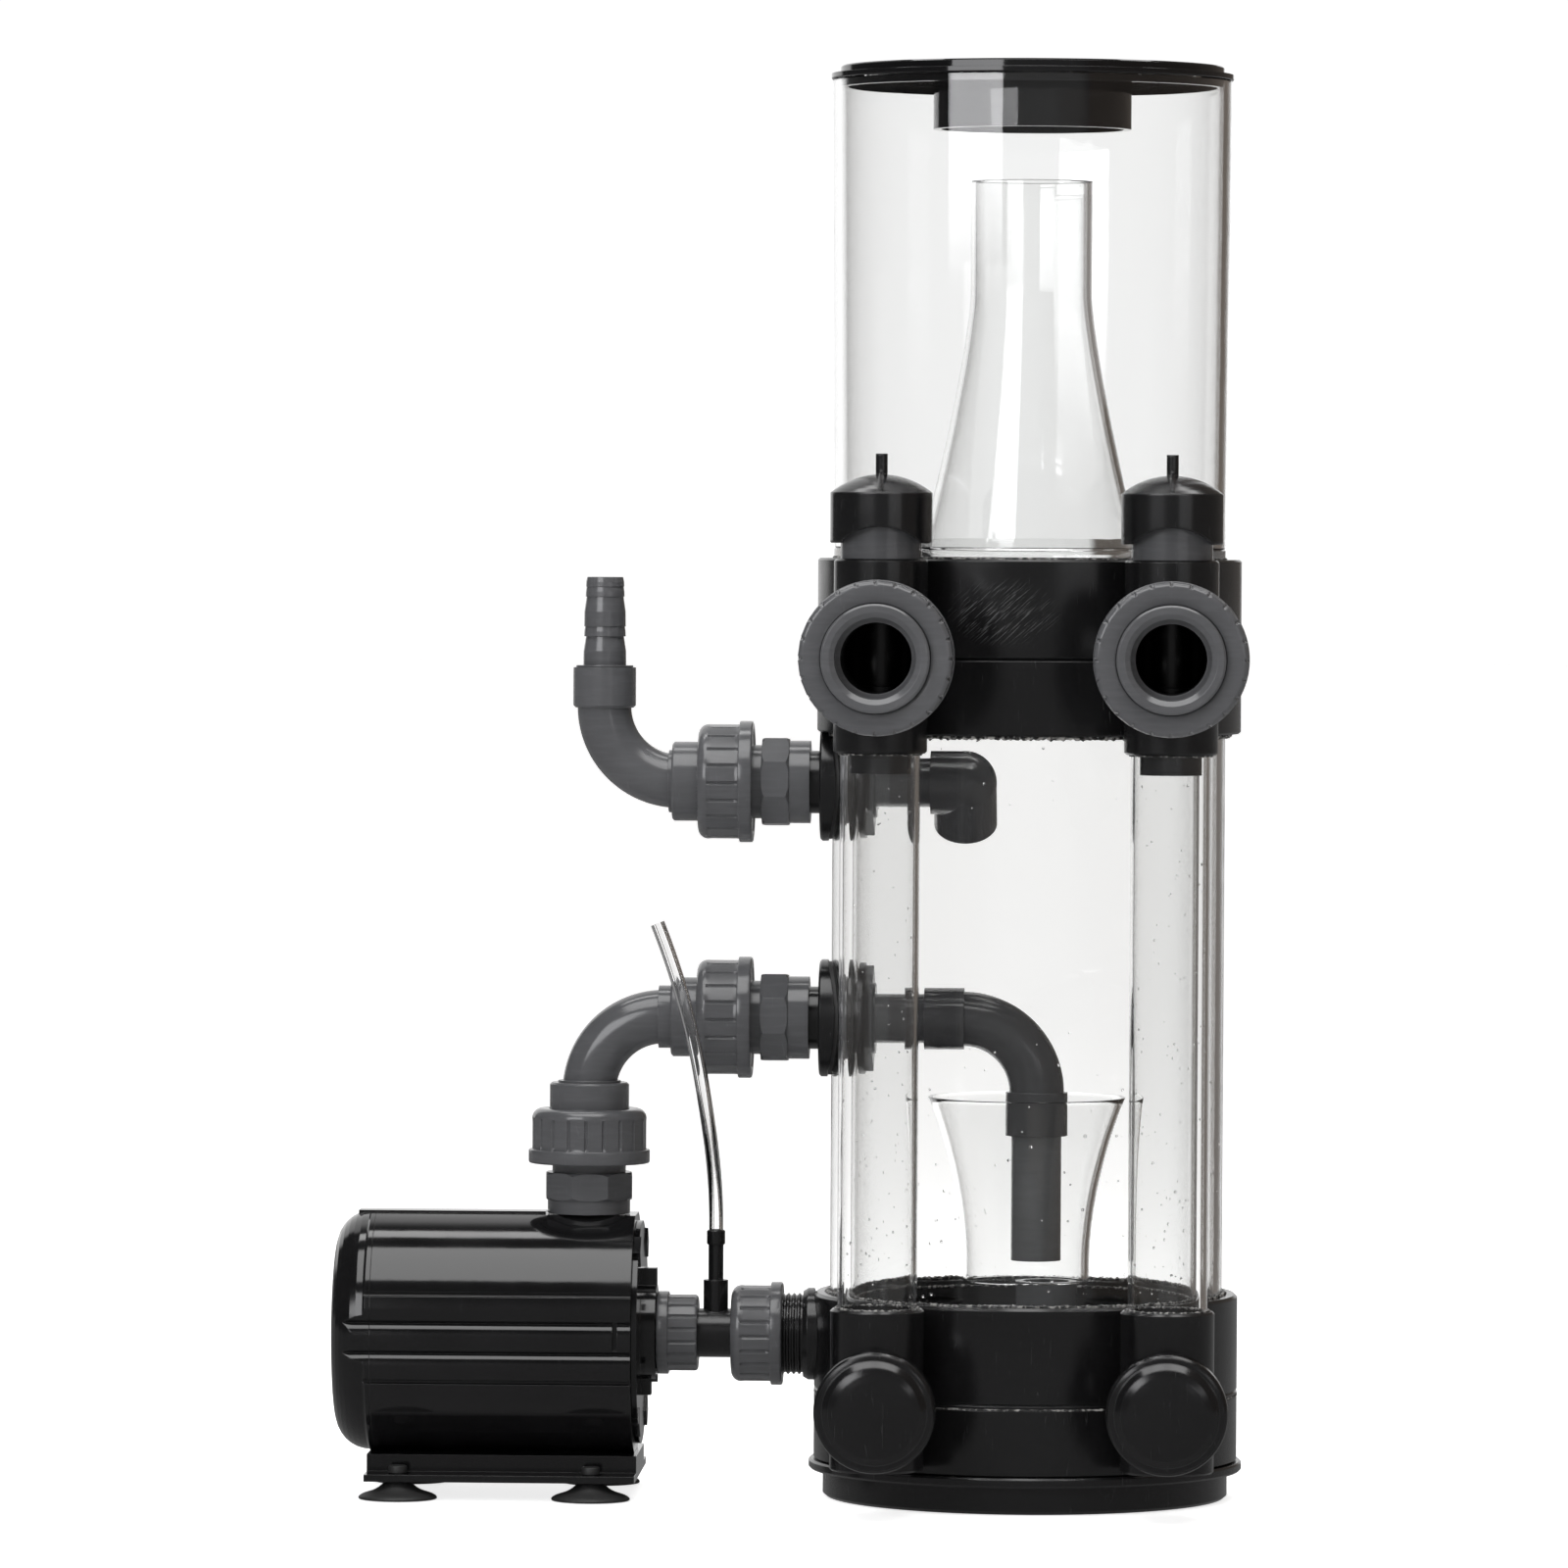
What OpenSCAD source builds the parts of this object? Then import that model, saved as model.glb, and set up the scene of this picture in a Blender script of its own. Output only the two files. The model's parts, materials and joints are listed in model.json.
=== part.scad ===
// Protein skimmer with a clear reaction tube, a foam cup on top, two front overflow towers, left-hand union
// pipework and a venturi pump beside the base. Origin: on the reaction tube's axis at floor level, +Z up,
// -Y to the front, pump on the -X side.

/* [Reaction tube and cup] */
// Outer diameter of the clear reaction tube
tube_od = 200; // [199:0.5:200]
// Wall thickness of the clear tubes
tube_wall = 4; // [3:0.5:5]
// Outer diameter of the base ring and the collars
ring_od = 216; // [212:1:216]
// Top of the base ring
ring_top = 104; // [103:1:106]
// Underside of the reaction collar
collar_z = 390; // [388:1:392]
// Seam between the reaction collar and the foam cup sleeve
cup_joint_z = 428.5; // [428:0.5:430]
// Top of the black cup sleeve, where the clear cup floor sits
sleeve_top = 478.5; // [478:0.5:480]
// Underside of the lid flange
cup_top = 722; // [700:1:760]
// Outer diameter of the cup at its rim
cup_rim_od = 203; // [202:0.5:204]
// Top of the foam riser
riser_top = 670.5; // [640:0.5:680]
// Radius of the foam riser's neck
riser_neck_r = 30.9; // [28:0.1:34]
// Rim height of the bubble funnel
funnel_top = 204; // [190:1:210]

/* [Front towers] */
// Distance of each tower from the centre plane
tower_x = 72.5; // [72.5:0.5:74]
// Distance of each tower in front of the reaction tube's axis
tower_y = 113; // [112.5:0.5:114]
// Outer diameter of the black tees
tee_od = 47; // [45:0.5:47]
// Height of the lower tees' front branches
lower_branch_z = 55; // [54:0.5:60]
// Height of the upper tees' front branches
upper_branch_z = 430; // [428:0.5:432]
// Outer diameter of the rising tubes and of the outlet sockets' pipe size
rising_od = 40; // [40:0.1:40.2]

/* [Left pipework] */
// Height of the raw water inlet
inlet_z = 364; // [362:0.5:368]
// Height of the pump return
return_z = 243.5; // [240:0.5:246]
// Distance from the tube's axis to the inlet hose barb
barb_x = 216.9; // [214:0.1:218]
// Distance from the tube's axis to the pump outlet
outlet_x = 223.7; // [222:0.1:226]
// Bend radius of the swept pipe bends
bend_r = 38; // [37:0.5:39]

/* [Pump] */
// Height of the pump's shaft
shaft_z = 82; // [82:0.25:82.5]
// Height of the pump housing
pump_h = 121; // [118:0.5:122]
// Width of the pump housing
pump_w = 121; // [118:0.5:122]
// Rear end of the motor housing, as distance from the tube's axis
housing_rear = 331.4; // [331:0.1:333]
// Front end of the motor housing, as distance from the tube's axis
housing_front = 199; // [198.8:0.1:199.2]

/* [Hidden] */
$fn = 96;

gap = 0.1;                                  // clearance left in every cemented or sliding joint
eps = 0.01;
tube_r = tube_od / 2;
ring_r = ring_od / 2;
bore_r = tube_r - tube_wall;                // inside of the clear reaction tube
base_top = 19;                              // top of the base plate's flange
tee_r = tee_od / 2;
rising_r = rising_od / 2;
rising_foot = 82;                           // where the rising tubes stand in the lower tees
rising_head = 407;                          // where they end in the upper tees
upper_tee_z = 381.5;
pipe_r = 12.5;                              // 25 mm pipe
pipe_bore = 10.4;
spigot_r = 16;                              // 32 mm pipe
union_face = 140.5;                         // hex side face of the side unions' nuts, from the tube's axis
pump_union_z = 168.5;                       // hex side face of the pump union's nut
union_len = 41.3;                           // from that face to the mouth of the union end
outlet_face = 170;                          // tower side face of the outlet nuts, in front of the tube's axis
intake_z = 81.75;                           // height of the intake line

black = [0.10, 0.10, 0.10];
grey = [0.33, 0.33, 0.35];
clear = [0.85, 0.90, 0.92, 0.35];
rubber = [0.05, 0.05, 0.05];

// points on an arc about c from angle a0 to angle a1
function arc(c, r, a0, a1, n) =
    [for (i = [0:n]) let (a = a0 + (a1 - a0) * i / n) c + r * [cos(a), sin(a)]];

// ---- placing and basic shapes ----

module lathe(points) { rotate_extrude() polygon(points); }

module ring(r_out, r_in, z0, z1) {
    lathe([[r_in, z0], [r_out, z0], [r_out, z1], [r_in, z1]]);
}

// local +Z runs to -X from the point (-x, 0, z)
module to_left(x, z) { translate([-x, 0, z]) rotate([0, -90, 0]) children(); }

// local +Z runs to +X from the point (-x, 0, z)
module to_right(x, z) { translate([-x, 0, z]) rotate([0, 90, 0]) children(); }

// local +Z runs to -Y from the point (x, -y, z)
module to_front(x, y, z) { translate([x, -y, z]) rotate([90, 0, 0]) children(); }

module at_towers() { for (side = [-1, 1]) translate([side * tower_x, -tower_y, 0]) children(); }

// local +X runs from the tower's axis to the reaction tube's axis; side is -1 or 1
module toward_tube(side, z) {
    translate([0, 0, z]) rotate([0, 0, atan2(tower_y, -side * tower_x)]) children();
}

// ---- unions: local +Z runs from the hex body towards the union end, z = 0 at the nut's hex side face ----

module union_body(socket_r, collar_r, hex_r, neck_r, thread_r, seat_z, foot_z) {
    hex_low = -18.6;
    hex_high = -4.6;
    difference() {
        union() {
            ring(collar_r, socket_r - 1, foot_z, hex_low + eps);
            translate([0, 0, hex_low]) rotate(27.5) intersection() {
                cylinder(r = hex_r, h = hex_high - hex_low, $fn = 8);
                lathe([[0, 0], [hex_r - 1.6, 0], [hex_r, 1.6], [hex_r, 12.4], [hex_r - 1.6, 14], [0, 14]]);
            }
            ring(neck_r, socket_r - 3, hex_high - eps, 0.5);
            ring(thread_r, socket_r - 3, 0.4, seat_z);
        }
        translate([0, 0, -30]) cylinder(r = socket_r + gap / 2, h = 24);
        translate([0, 0, -30]) cylinder(r = socket_r - 3, h = 60);
    }
}

// shoulder is the radius of the rounded edge at the union end's side
module union_nut(r, ring_r, thread_r, end_r, len, ring_len, ribs, groove_r, shoulder) {
    difference() {
        union() {
            intersection() {
                linear_extrude(len) difference() {
                    circle(r);
                    for (i = [0:ribs - 1]) rotate(i * 360 / ribs)
                        translate([r + groove_r * 0.45, 0]) circle(groove_r);
                }
                lathe(concat([[0, 0], [r + 1, 0]], [[r + 1, len - shoulder - 1]],
                    arc([r - shoulder, len - shoulder], shoulder, 0, 90, 4), [[0, len]]));
            }
            lathe([[0, 0], [ring_r - 1, 0], [ring_r, 1], [ring_r, ring_len - 1.5], [ring_r - 1.5, ring_len],
                [0, ring_len]]);
            lathe([[0, 0], [r - 2.2, 0], [r - 2.2, len], [0, len]]);
        }
        translate([0, 0, -1]) cylinder(r = thread_r + 0.3, h = len - 3.8);
        translate([0, 0, -1]) cylinder(r = end_r + 0.3, h = len + 2);
    }
}

// bore is the waterway's radius and chamfer the widening of the socket's mouth
module union_end(socket_r, end_r, flange_r, bore, seat_z, flange_z, len, chamfer) {
    deep = chamfer * 0.75;
    difference() {
        union() {
            ring(flange_r, bore, seat_z, flange_z);
            lathe([[bore, flange_z - eps], [end_r, flange_z - eps], [end_r, len - 1], [end_r - 1, len],
                [bore, len]]);
        }
        translate([0, 0, seat_z + 2]) cylinder(r = socket_r + gap / 2, h = len);
        translate([0, 0, len - deep])
            cylinder(r1 = socket_r + gap / 2, r2 = socket_r + chamfer, h = deep + eps);
    }
}

module side_union_body() { union_body(spigot_r, 21.1, 23.6, 18.8, 25, 17, -29.2); }

module side_union_nut() { union_nut(29.25, 31, 25, 20.25, 28, 7, 20, 1.5, 5); }

module side_union_end() { union_end(spigot_r, 20.25, 24.6, 13, 17.4, 22.9, union_len, 0.6); }

// ---- base and reaction tube ----

module base_plate() {
    color(black) lathe([[0, 0], [101.5, 0], [103.25, 1.5], [103.25, 14], [109.5, 14], [110.5, 15],
        [110.5, 18], [109.5, base_top], [0, base_top]]);
}

// the holes that pass through the base ring and the reaction tube inside it
module base_bores() {
    to_left(60, intake_z) cylinder(r = 15.1, h = 60);
    for (side = [-1, 1]) translate([side * tower_x, -tower_y, 0]) toward_tube(side, lower_branch_z)
        rotate([0, 90, 0]) cylinder(r = spigot_r + gap, h = 50);
}

module base_ring() {
    seam_z = 53;
    groove = 0.7;
    color(black) difference() {
        lathe([[tube_r + gap, base_top + gap], [ring_r - 1, base_top + gap], [ring_r, base_top + 1],
            [ring_r, seam_z - groove], [ring_r - groove, seam_z], [ring_r, seam_z + groove],
            [ring_r, seam_z + 1.6], [ring_r - groove, seam_z + 2.3], [ring_r, seam_z + 3],
            [ring_r, ring_top - 1.5], [ring_r - 1.5, ring_top], [tube_r + 1.5, ring_top],
            [tube_r + gap, ring_top - 1.5]]);
        base_bores();
    }
}

module reaction_tube() {
    color(clear) difference() {
        ring(tube_r, bore_r, base_top + gap, cup_joint_z - 1.5);
        base_bores();
        for (z = [inlet_z, return_z]) to_left(80, z) cylinder(r = 18.2, h = 30);
    }
}

module suction_port() {
    len = 38.4;                             // from the ring's bore to the mouth of the threaded spigot
    thread_r = 20.75;
    color(black) union() {
        difference() {
            to_left(102, intake_z) union() {
                cylinder(r = 15, h = len);
                lathe([[0, 0], [23.5, 0], [23.5, 9], [22, 11.5], [0, 11.5]]);
                for (i = [0:8]) translate([0, 0, 12.5 + i * 2.8])
                    lathe([[0, 0], [thread_r - 1, 0], [thread_r, 0.7], [thread_r, 1.4], [thread_r - 1, 2.1],
                        [thread_r - 1, 2.82], [0, 2.82]]);
                lathe([[0, 11.4], [thread_r - 1, 11.4], [thread_r - 1, 12.6], [0, 12.6]]);
            }
            cylinder(r = ring_r + gap / 2, h = 200);
            to_left(60, intake_z) cylinder(r = 11, h = 100);
        }
        difference() {
            to_left(96.5, intake_z) cylinder(r = 15, h = 14);
            to_left(60, intake_z) cylinder(r = 12.6, h = 39.5);
            to_left(60, intake_z) cylinder(r = 11, h = 100);
        }
    }
}

module suction_elbow() {
    up_x = 10.5;                            // axis of the upright leg
    top_z = 110;
    leg_r = 15.5;
    color(grey) difference() {
        union() {
            to_left(-up_x + leg_r + 14, intake_z) cylinder(r = pipe_r, h = 99.3 - 14 + up_x - leg_r);
            to_left(-up_x, intake_z) cylinder(r = leg_r, h = 30);
            translate([up_x, 0, intake_z - leg_r]) cylinder(r = leg_r + 0.2, h = top_z - intake_z + leg_r);
        }
        to_left(-up_x, intake_z) cylinder(r = pipe_bore, h = 150);
        translate([up_x, 0, intake_z - 11]) cylinder(r = pipe_bore + 1.5, h = 60);
    }
}

function funnel_r(z) = 32.4 + 18.1 * pow(max(0, (z - 118) / (funnel_top - 118)), 1.9);

module bubble_funnel() {
    wall = 2.4;
    steps = 14;
    low = base_top + gap;
    zs = [for (i = [0:steps]) 112 + (funnel_top - 112) * i / steps];
    color(clear) difference() {
        lathe(concat([[funnel_r(0) - wall, low], [funnel_r(0), low]], [for (z = zs) [funnel_r(z), z]],
            [for (i = [steps:-1:0]) [funnel_r(zs[i]) - wall, zs[i]]]));
        to_left(0, intake_z) cylinder(r = spigot_r + 0.8, h = 50);
        translate([-50, -spigot_r - 0.8, 0]) cube([50, 2 * spigot_r + 1.6, intake_z]);
    }
}

module reaction_collar() {
    color(black) lathe([[tube_r + gap, collar_z], [ring_r - 1, collar_z], [ring_r, collar_z + 1],
        [ring_r, cup_joint_z - 1], [ring_r - 1, cup_joint_z], [tube_r - 1, cup_joint_z],
        [tube_r - 1, cup_joint_z - 1.4], [tube_r + gap, cup_joint_z - 1.4]]);
}

// ---- front towers ----

module lower_tee(side) {
    floor_z = 23;
    front = 35;                             // reach of the front branch from the tower's axis
    back = sqrt(tower_x * tower_x + tower_y * tower_y) - bore_r - 2;
    difference() {
        union() {
            lathe([[0, floor_z], [tee_r - 1, floor_z], [tee_r, floor_z + 1], [tee_r, ring_top - 1.2],
                [tee_r - 1.2, ring_top], [0, ring_top]]);
            to_front(0, 0, lower_branch_z) cylinder(r = tee_r - 0.1, h = front);
            toward_tube(side, lower_branch_z) rotate([0, 90, 0]) cylinder(r = spigot_r, h = back);
        }
        translate([0, 0, rising_foot]) cylinder(r = rising_r + gap / 2, h = 40);
        translate([0, 0, floor_z + 4]) cylinder(r = 17.5, h = 80);
        to_front(0, 0, lower_branch_z) cylinder(r = 17.6, h = front + 1);
        toward_tube(side, lower_branch_z) rotate([0, 90, 0]) cylinder(r = 13, h = back + 1);
    }
}

module lower_tees() {
    color(black) for (side = [-1, 1]) translate([side * tower_x, -tower_y, 0]) lower_tee(side);
}

module blind_caps() {
    cap_r = 30.4;
    mouth = 18;                             // from the tower's axis to the cap's open end
    face = 40;                              // from the tower's axis to the edge of the dome
    color(black) at_towers() to_front(0, 0, lower_branch_z) difference() {
        lathe(concat([[0, mouth + 7], [cap_r - 0.8, mouth + 7], [cap_r, mouth + 7.8], [cap_r, face - 3]],
            arc([cap_r - 3, face - 3], 3, 0, 90, 3), [[cap_r - 4, face]],
            [for (i = [0:8]) [(cap_r - 4.2) * (1 - i / 8), face + 5.5 * sin(90 * sqrt(i / 8))]]));
        translate([0, 0, mouth]) cylinder(r = tee_r + gap / 2, h = 35 + gap - mouth);
    }
}

module rising_tubes() {
    color(clear) at_towers() ring(rising_r, rising_r - 2, rising_foot + gap, rising_head - gap);
}

module tube_nipples() {
    color(black) at_towers() ring(15.5, 13, upper_tee_z - 10, 415);
}

module upper_tee() {
    front = outlet_face - 11 - tower_y;     // reach of the front branch from the tower's axis
    socket = outlet_face - 33 - tower_y;    // where the outlet's socket starts in it
    difference() {
        union() {
            lathe([[0, upper_tee_z], [tee_r - 1.2, upper_tee_z], [tee_r, upper_tee_z + 1.2], [tee_r, 477.4],
                [tee_r - 1.2, 478.6], [0, 478.6]]);
            to_front(0, 0, upper_branch_z) cylinder(r = tee_r - 0.1, h = front);
        }
        translate([0, 0, upper_tee_z - 1])
            cylinder(r = rising_r + gap / 2, h = rising_head - upper_tee_z + 1);
        translate([0, 0, 400]) cylinder(r = 15.6, h = 14);
        translate([0, 0, 411]) cylinder(r = 17.5, h = 50);
        translate([0, 0, 456]) cylinder(r = rising_r + 0.4, h = 30);
        to_front(0, 0, upper_branch_z) cylinder(r = 17.6, h = front + 1);
        to_front(0, socket, upper_branch_z) cylinder(r = rising_r + gap / 2, h = front);
    }
}

module upper_tees() { color(black) at_towers() upper_tee(); }

module vent_nipples() {
    color(grey) at_towers() ring(rising_r + 0.3, 17, 456 + gap, 499.5);
}

module vent_cap() {
    cap_r = 25.5;
    skirt_z = 486.4;
    brim_z = 511.5;
    dome_h = 9.2;
    dome_r = (cap_r * cap_r + dome_h * dome_h) / (2 * dome_h);
    nozzle_top = 531;
    steps = 10;
    // profile of the dome, raised by up
    function dome(up) = [for (i = [0:steps]) let (x = cap_r * (1 - i / steps))
        [x, brim_z + up + sqrt(dome_r * dome_r - x * x) - dome_r + dome_h]];
    difference() {
        union() {
            lathe(concat([[0, skirt_z], [cap_r - 0.6, skirt_z], [cap_r, skirt_z + 0.6]], dome(0)));
            translate([0, 0, brim_z + dome_h - 4]) cylinder(r = 3, h = nozzle_top - brim_z - dome_h + 4);
            intersection() {
                translate([-0.8, -cap_r + 0.5, brim_z - 1]) cube([1.6, cap_r - 0.5, dome_h + 4]);
                lathe(concat([[0, brim_z - 1], [cap_r, brim_z - 1]], dome(1.6)));
            }
        }
        translate([0, 0, skirt_z - 1]) cylinder(r = rising_r + 0.6, h = 14.4);
        translate([0, 0, skirt_z + 10]) cylinder(r = 16.5, h = 18);
        cylinder(r = 1.6, h = 600);
        to_front(0, 0, 464.8) cylinder(r = 29.7, h = 40);
    }
}

module vent_cap_left() { color(black) translate([-tower_x, -tower_y, 0]) vent_cap(); }

module vent_cap_right() { color(black) translate([tower_x, -tower_y, 0]) vent_cap(); }

module at_outlet(side) { to_front(side * tower_x, outlet_face, upper_branch_z) children(); }

// local z = 0 at the nut's tower side face
module outlet_union_bodies() {
    seat = 20;
    bore = 17.6;
    color(grey) for (side = [-1, 1]) at_outlet(side) union() {
        ring(rising_r, bore, -32, 2);
        ring(27.5, bore, -10.5, -0.5);
        ring(31, bore, -0.6, seat);
    }
}

module outlet_nut() { union_nut(38.2, 38.5, 31, 26.9, 33, 12, 24, 1.3, 3); }

module outlet_nut_left() { color(grey) at_outlet(-1) outlet_nut(); }

module outlet_nut_right() { color(grey) at_outlet(1) outlet_nut(); }

module outlet_ends() {
    color(grey) for (side = [-1, 1]) at_outlet(side) union_end(20.05, 26.9, 30.6, 17.8, 20.4, 27.9, 38, 2.7);
}

// ---- raw water inlet and pump return through the tube wall ----

module bulkhead() {
    flange_r = 30;
    difference() {
        union() {
            difference() {
                lathe([[0, 92], [flange_r, 92], [flange_r, 105], [flange_r - 1, 106], [0, 106]]);
                rotate([0, 90, 0]) cylinder(r = tube_r + 2, h = 100, center = true);
            }
            translate([0, 0, 78]) cylinder(r = 18, h = 26);
            translate([0, 0, 78]) cylinder(r = spigot_r, h = 56);
        }
        translate([0, 0, 70]) cylinder(r = pipe_r + 0.15, h = 28);
        translate([0, 0, 70]) cylinder(r = 11.5, h = 80);
    }
}

// the room kept free under the reaction collar, which trims the upper flange and seal flat
module under_collar() { translate([-130, -40, collar_z - gap]) cube([45, 80, 20]); }

module bulkheads() {
    color(black) difference() {
        for (z = [inlet_z, return_z]) to_left(0, z) bulkhead();
        under_collar();
    }
}

module bulkhead_locknuts() {
    color(black) for (z = [inlet_z, return_z]) to_left(79.6, z) difference() {
        union() {
            cylinder(r = 27, h = 7, $fn = 6);
            translate([0, 0, 6.5]) cylinder(r = 28.5, h = 5);
        }
        translate([0, 0, -1]) cylinder(r = 18 + gap, h = 20);
    }
}

module rubber_seals() {
    color(rubber) for (z = [inlet_z, return_z]) difference() {
        to_left(90, z) cylinder(r = 29, h = 14);
        cylinder(r = tube_r + gap / 2, h = 500);
        to_left(60, z) cylinder(r = 18 + gap, h = 60);
        difference() {
            translate([-120, -40, z - 40]) cube([40, 80, 80]);
            translate([0, 0, z - 50]) cylinder(r = tube_r + 1.9, h = 100);
        }
        under_collar();
    }
}

module inlet_union_body() { color(grey) to_left(union_face, inlet_z) side_union_body(); }

module inlet_nut() { color(grey) to_left(union_face, inlet_z) side_union_nut(); }

module inlet_union_end() { color(grey) to_left(union_face, inlet_z) side_union_end(); }

// a hollow swept bend: its level end faces +X at (path_r, 0, 0), its upright end faces +Z at (0, 0, path_r)
module bend_tube(path_r, section_r) {
    translate([path_r, 0, path_r]) rotate([90, 0, 0]) rotate([0, 0, 180]) rotate_extrude(angle = 90)
        translate([path_r, 0]) difference() {
            circle(section_r);
            circle(pipe_bore);
        }
}

// a socket or spigot on the level end of a bend, from x = low to x = high
module level_sleeve(r_out, r_in, low, high) { rotate([0, 90, 0]) ring(r_out, r_in, low, high); }

sleeve_in = 12.6;                           // inside of the sleeves that grip a bend's ends

module inlet_bend() {
    mouth = barb_x - union_face - union_len;
    color(grey) translate([-barb_x, 0, inlet_z]) union() {
        bend_tube(bend_r, 13.75);
        level_sleeve(spigot_r, sleeve_in, mouth - 1.8, bend_r);
        level_sleeve(spigot_r, pipe_bore, bend_r, mouth + 15);
        lathe([[sleeve_in, bend_r - 0.6], [14.8, bend_r - 0.6], [spigot_r, bend_r + 0.6],
            [spigot_r, bend_r + 20], [sleeve_in, bend_r + 20]]);
    }
}

module hose_barb() {
    foot = inlet_z + bend_r + gap;
    // each barb: foot height above the shoulder, height, foot radius and head radius
    barbs = [[0, 14.8, 10.95, 9.7], [14.8, 5.1, 10.65, 10.2], [19.9, 15.2, 10.65, 9.45],
        [35.1, 5.1, 9.95, 9.5], [40.2, 4.9, 9.8, 9.2]];
    shoulder = 423;
    color(grey) translate([-barb_x, 0, 0]) difference() {
        union() {
            ring(pipe_r, 7, foot, 422.2);
            ring(14.6, 7, 422.1, shoulder + eps);
            for (b = barbs) translate([0, 0, shoulder + b[0]])
                lathe([[7, -eps], [b[2], 0], [b[2] - 0.1, b[1] * 0.5], [b[3], b[1]], [7, b[1]]]);
        }
        cylinder(r = 7.2, h = 500);
    }
}

module inner_inlet_pipe() { color(grey) to_left(40, inlet_z) ring(pipe_r, pipe_bore, 0, 57.8); }

module inner_inlet_elbow() {
    elbow_x = 32.5;
    leg_r = 16.25;
    drop = 51;                              // how far the open leg points below the horizontal
    color(grey) translate([-elbow_x, 0, inlet_z]) difference() {
        union() {
            rotate([0, -90, 0]) cylinder(r = leg_r, h = 17.5);
            sphere(leg_r + 0.1);
            rotate([-90 - drop, 0, 0]) cylinder(r = leg_r, h = 27);
        }
        rotate([0, -90, 0]) translate([0, 0, 7.3]) cylinder(r = pipe_r + gap / 2, h = 20);
        rotate([0, -90, 0]) cylinder(r = pipe_bore, h = 20);
        sphere(pipe_bore + 0.1);
        rotate([-90 - drop, 0, 0]) cylinder(r = pipe_bore, h = 30);
        rotate([-90 - drop, 0, 0]) translate([0, 0, 12]) cylinder(r = pipe_r + 0.1, h = 30);
    }
}

module return_union_body() { color(grey) to_left(union_face, return_z) side_union_body(); }

module return_nut() { color(grey) to_left(union_face, return_z) side_union_nut(); }

module return_union_end() { color(grey) to_left(union_face, return_z) side_union_end(); }

module return_bend() {
    mouth = outlet_x - union_face - union_len;
    foot = return_z - pump_union_z - union_len;
    color(grey) translate([-outlet_x, 0, return_z]) mirror([0, 0, 1]) union() {
        bend_tube(bend_r, 13.75);
        level_sleeve(spigot_r, sleeve_in, mouth - 6.4, bend_r);
        level_sleeve(spigot_r, pipe_bore, bend_r, mouth + 15);
        ring(spigot_r, sleeve_in, foot - 1, bend_r);
        ring(spigot_r, pipe_bore, bend_r, foot + 15);
    }
}

inner_bend_r = 37.5;
inner_drop_x = 5;                           // axis of the drop pipe

module inner_return_pipe() { color(grey) to_left(40, return_z) ring(pipe_r + 0.1, pipe_bore, 0, 57.8); }

module inner_return_bend() {
    socket_r = 15.85;
    socket_len = 20;
    color(grey) translate([inner_drop_x, 0, return_z]) mirror([1, 0, 0]) mirror([0, 0, 1]) union() {
        bend_tube(inner_bend_r, 14);
        level_sleeve(socket_r, pipe_r + 0.15, inner_bend_r - 0.4, inner_bend_r + socket_len);
        ring(socket_r, pipe_r + 0.35, inner_bend_r - 0.4, inner_bend_r + 1.5 + socket_len);
    }
}

module drop_pipe() {
    color(grey) translate([inner_drop_x, 0, 0])
        ring(pipe_r + 0.25, pipe_bore, 120.6, return_z - inner_bend_r - gap);
}

// the union body of the pump outlet, with the nipple that plugs it into the housing
module pump_union_body() {
    color(grey) {
        translate([-outlet_x, 0, pump_union_z]) union_body(spigot_r - gap, 21.1, 23.6, 18.8, 25, 17, -25.6);
        translate([-outlet_x, 0, 0]) ring(spigot_r, 13, shaft_z + 37, pump_union_z - 6.2);
    }
}

module pump_nut() { color(grey) translate([-outlet_x, 0, pump_union_z]) side_union_nut(); }

module pump_union_end() { color(grey) translate([-outlet_x, 0, pump_union_z]) side_union_end(); }

// ---- foam cup ----

spigot_low = 410;                           // foot of the cup sleeve's spigot inside the reaction tube

module cup_sleeve() {
    spigot_or = bore_r - gap;
    inner_r = 89;
    color(black) lathe([[inner_r, spigot_low], [spigot_or - 1, spigot_low], [spigot_or, spigot_low + 1],
        [spigot_or, 416], [spigot_or - 2.5, 416], [spigot_or - 2.5, 420], [spigot_or, 420],
        [spigot_or, cup_joint_z + gap], [ring_r - 1, cup_joint_z + gap], [ring_r, cup_joint_z + 1.1],
        [ring_r, sleeve_top - 1], [ring_r - 1, sleeve_top], [inner_r, sleeve_top]]);
}

module cup_seal() {
    color(rubber) ring(bore_r - 0.05, bore_r - gap - 2.45, 416.1, 419.9);
}

function riser_r(z) = riser_neck_r + 0.0455 * pow(max(0, 612 - z), 1.3);

floor_top = 489;

module cup_floor() {
    hole_r = riser_r(sleeve_top) + gap;
    color(clear) lathe([[hole_r, sleeve_top + gap], [tube_r, sleeve_top + gap], [tube_r, 483.9],
        [95.6, 483.9], [95.6, floor_top], [hole_r, floor_top]]);
}

module cup_tube() {
    low_r = 99.6;
    rim_r = cup_rim_od / 2;
    color(clear) lathe([[low_r - tube_wall + gap, 484], [low_r, 484], [rim_r, cup_top],
        [rim_r - tube_wall, cup_top]]);
}

module foam_riser() {
    wall = 2.6;
    steps = 16;
    low = sleeve_top + gap;
    zs = [for (i = [0:steps]) low + (612 - low) * i / steps];
    color(clear) lathe(concat([for (z = zs) [riser_r(z), z]],
        [[riser_neck_r, riser_top], [riser_neck_r - wall, riser_top]],
        [for (i = [steps:-1:0]) [riser_r(zs[i]) - wall, zs[i]]]));
}

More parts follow.
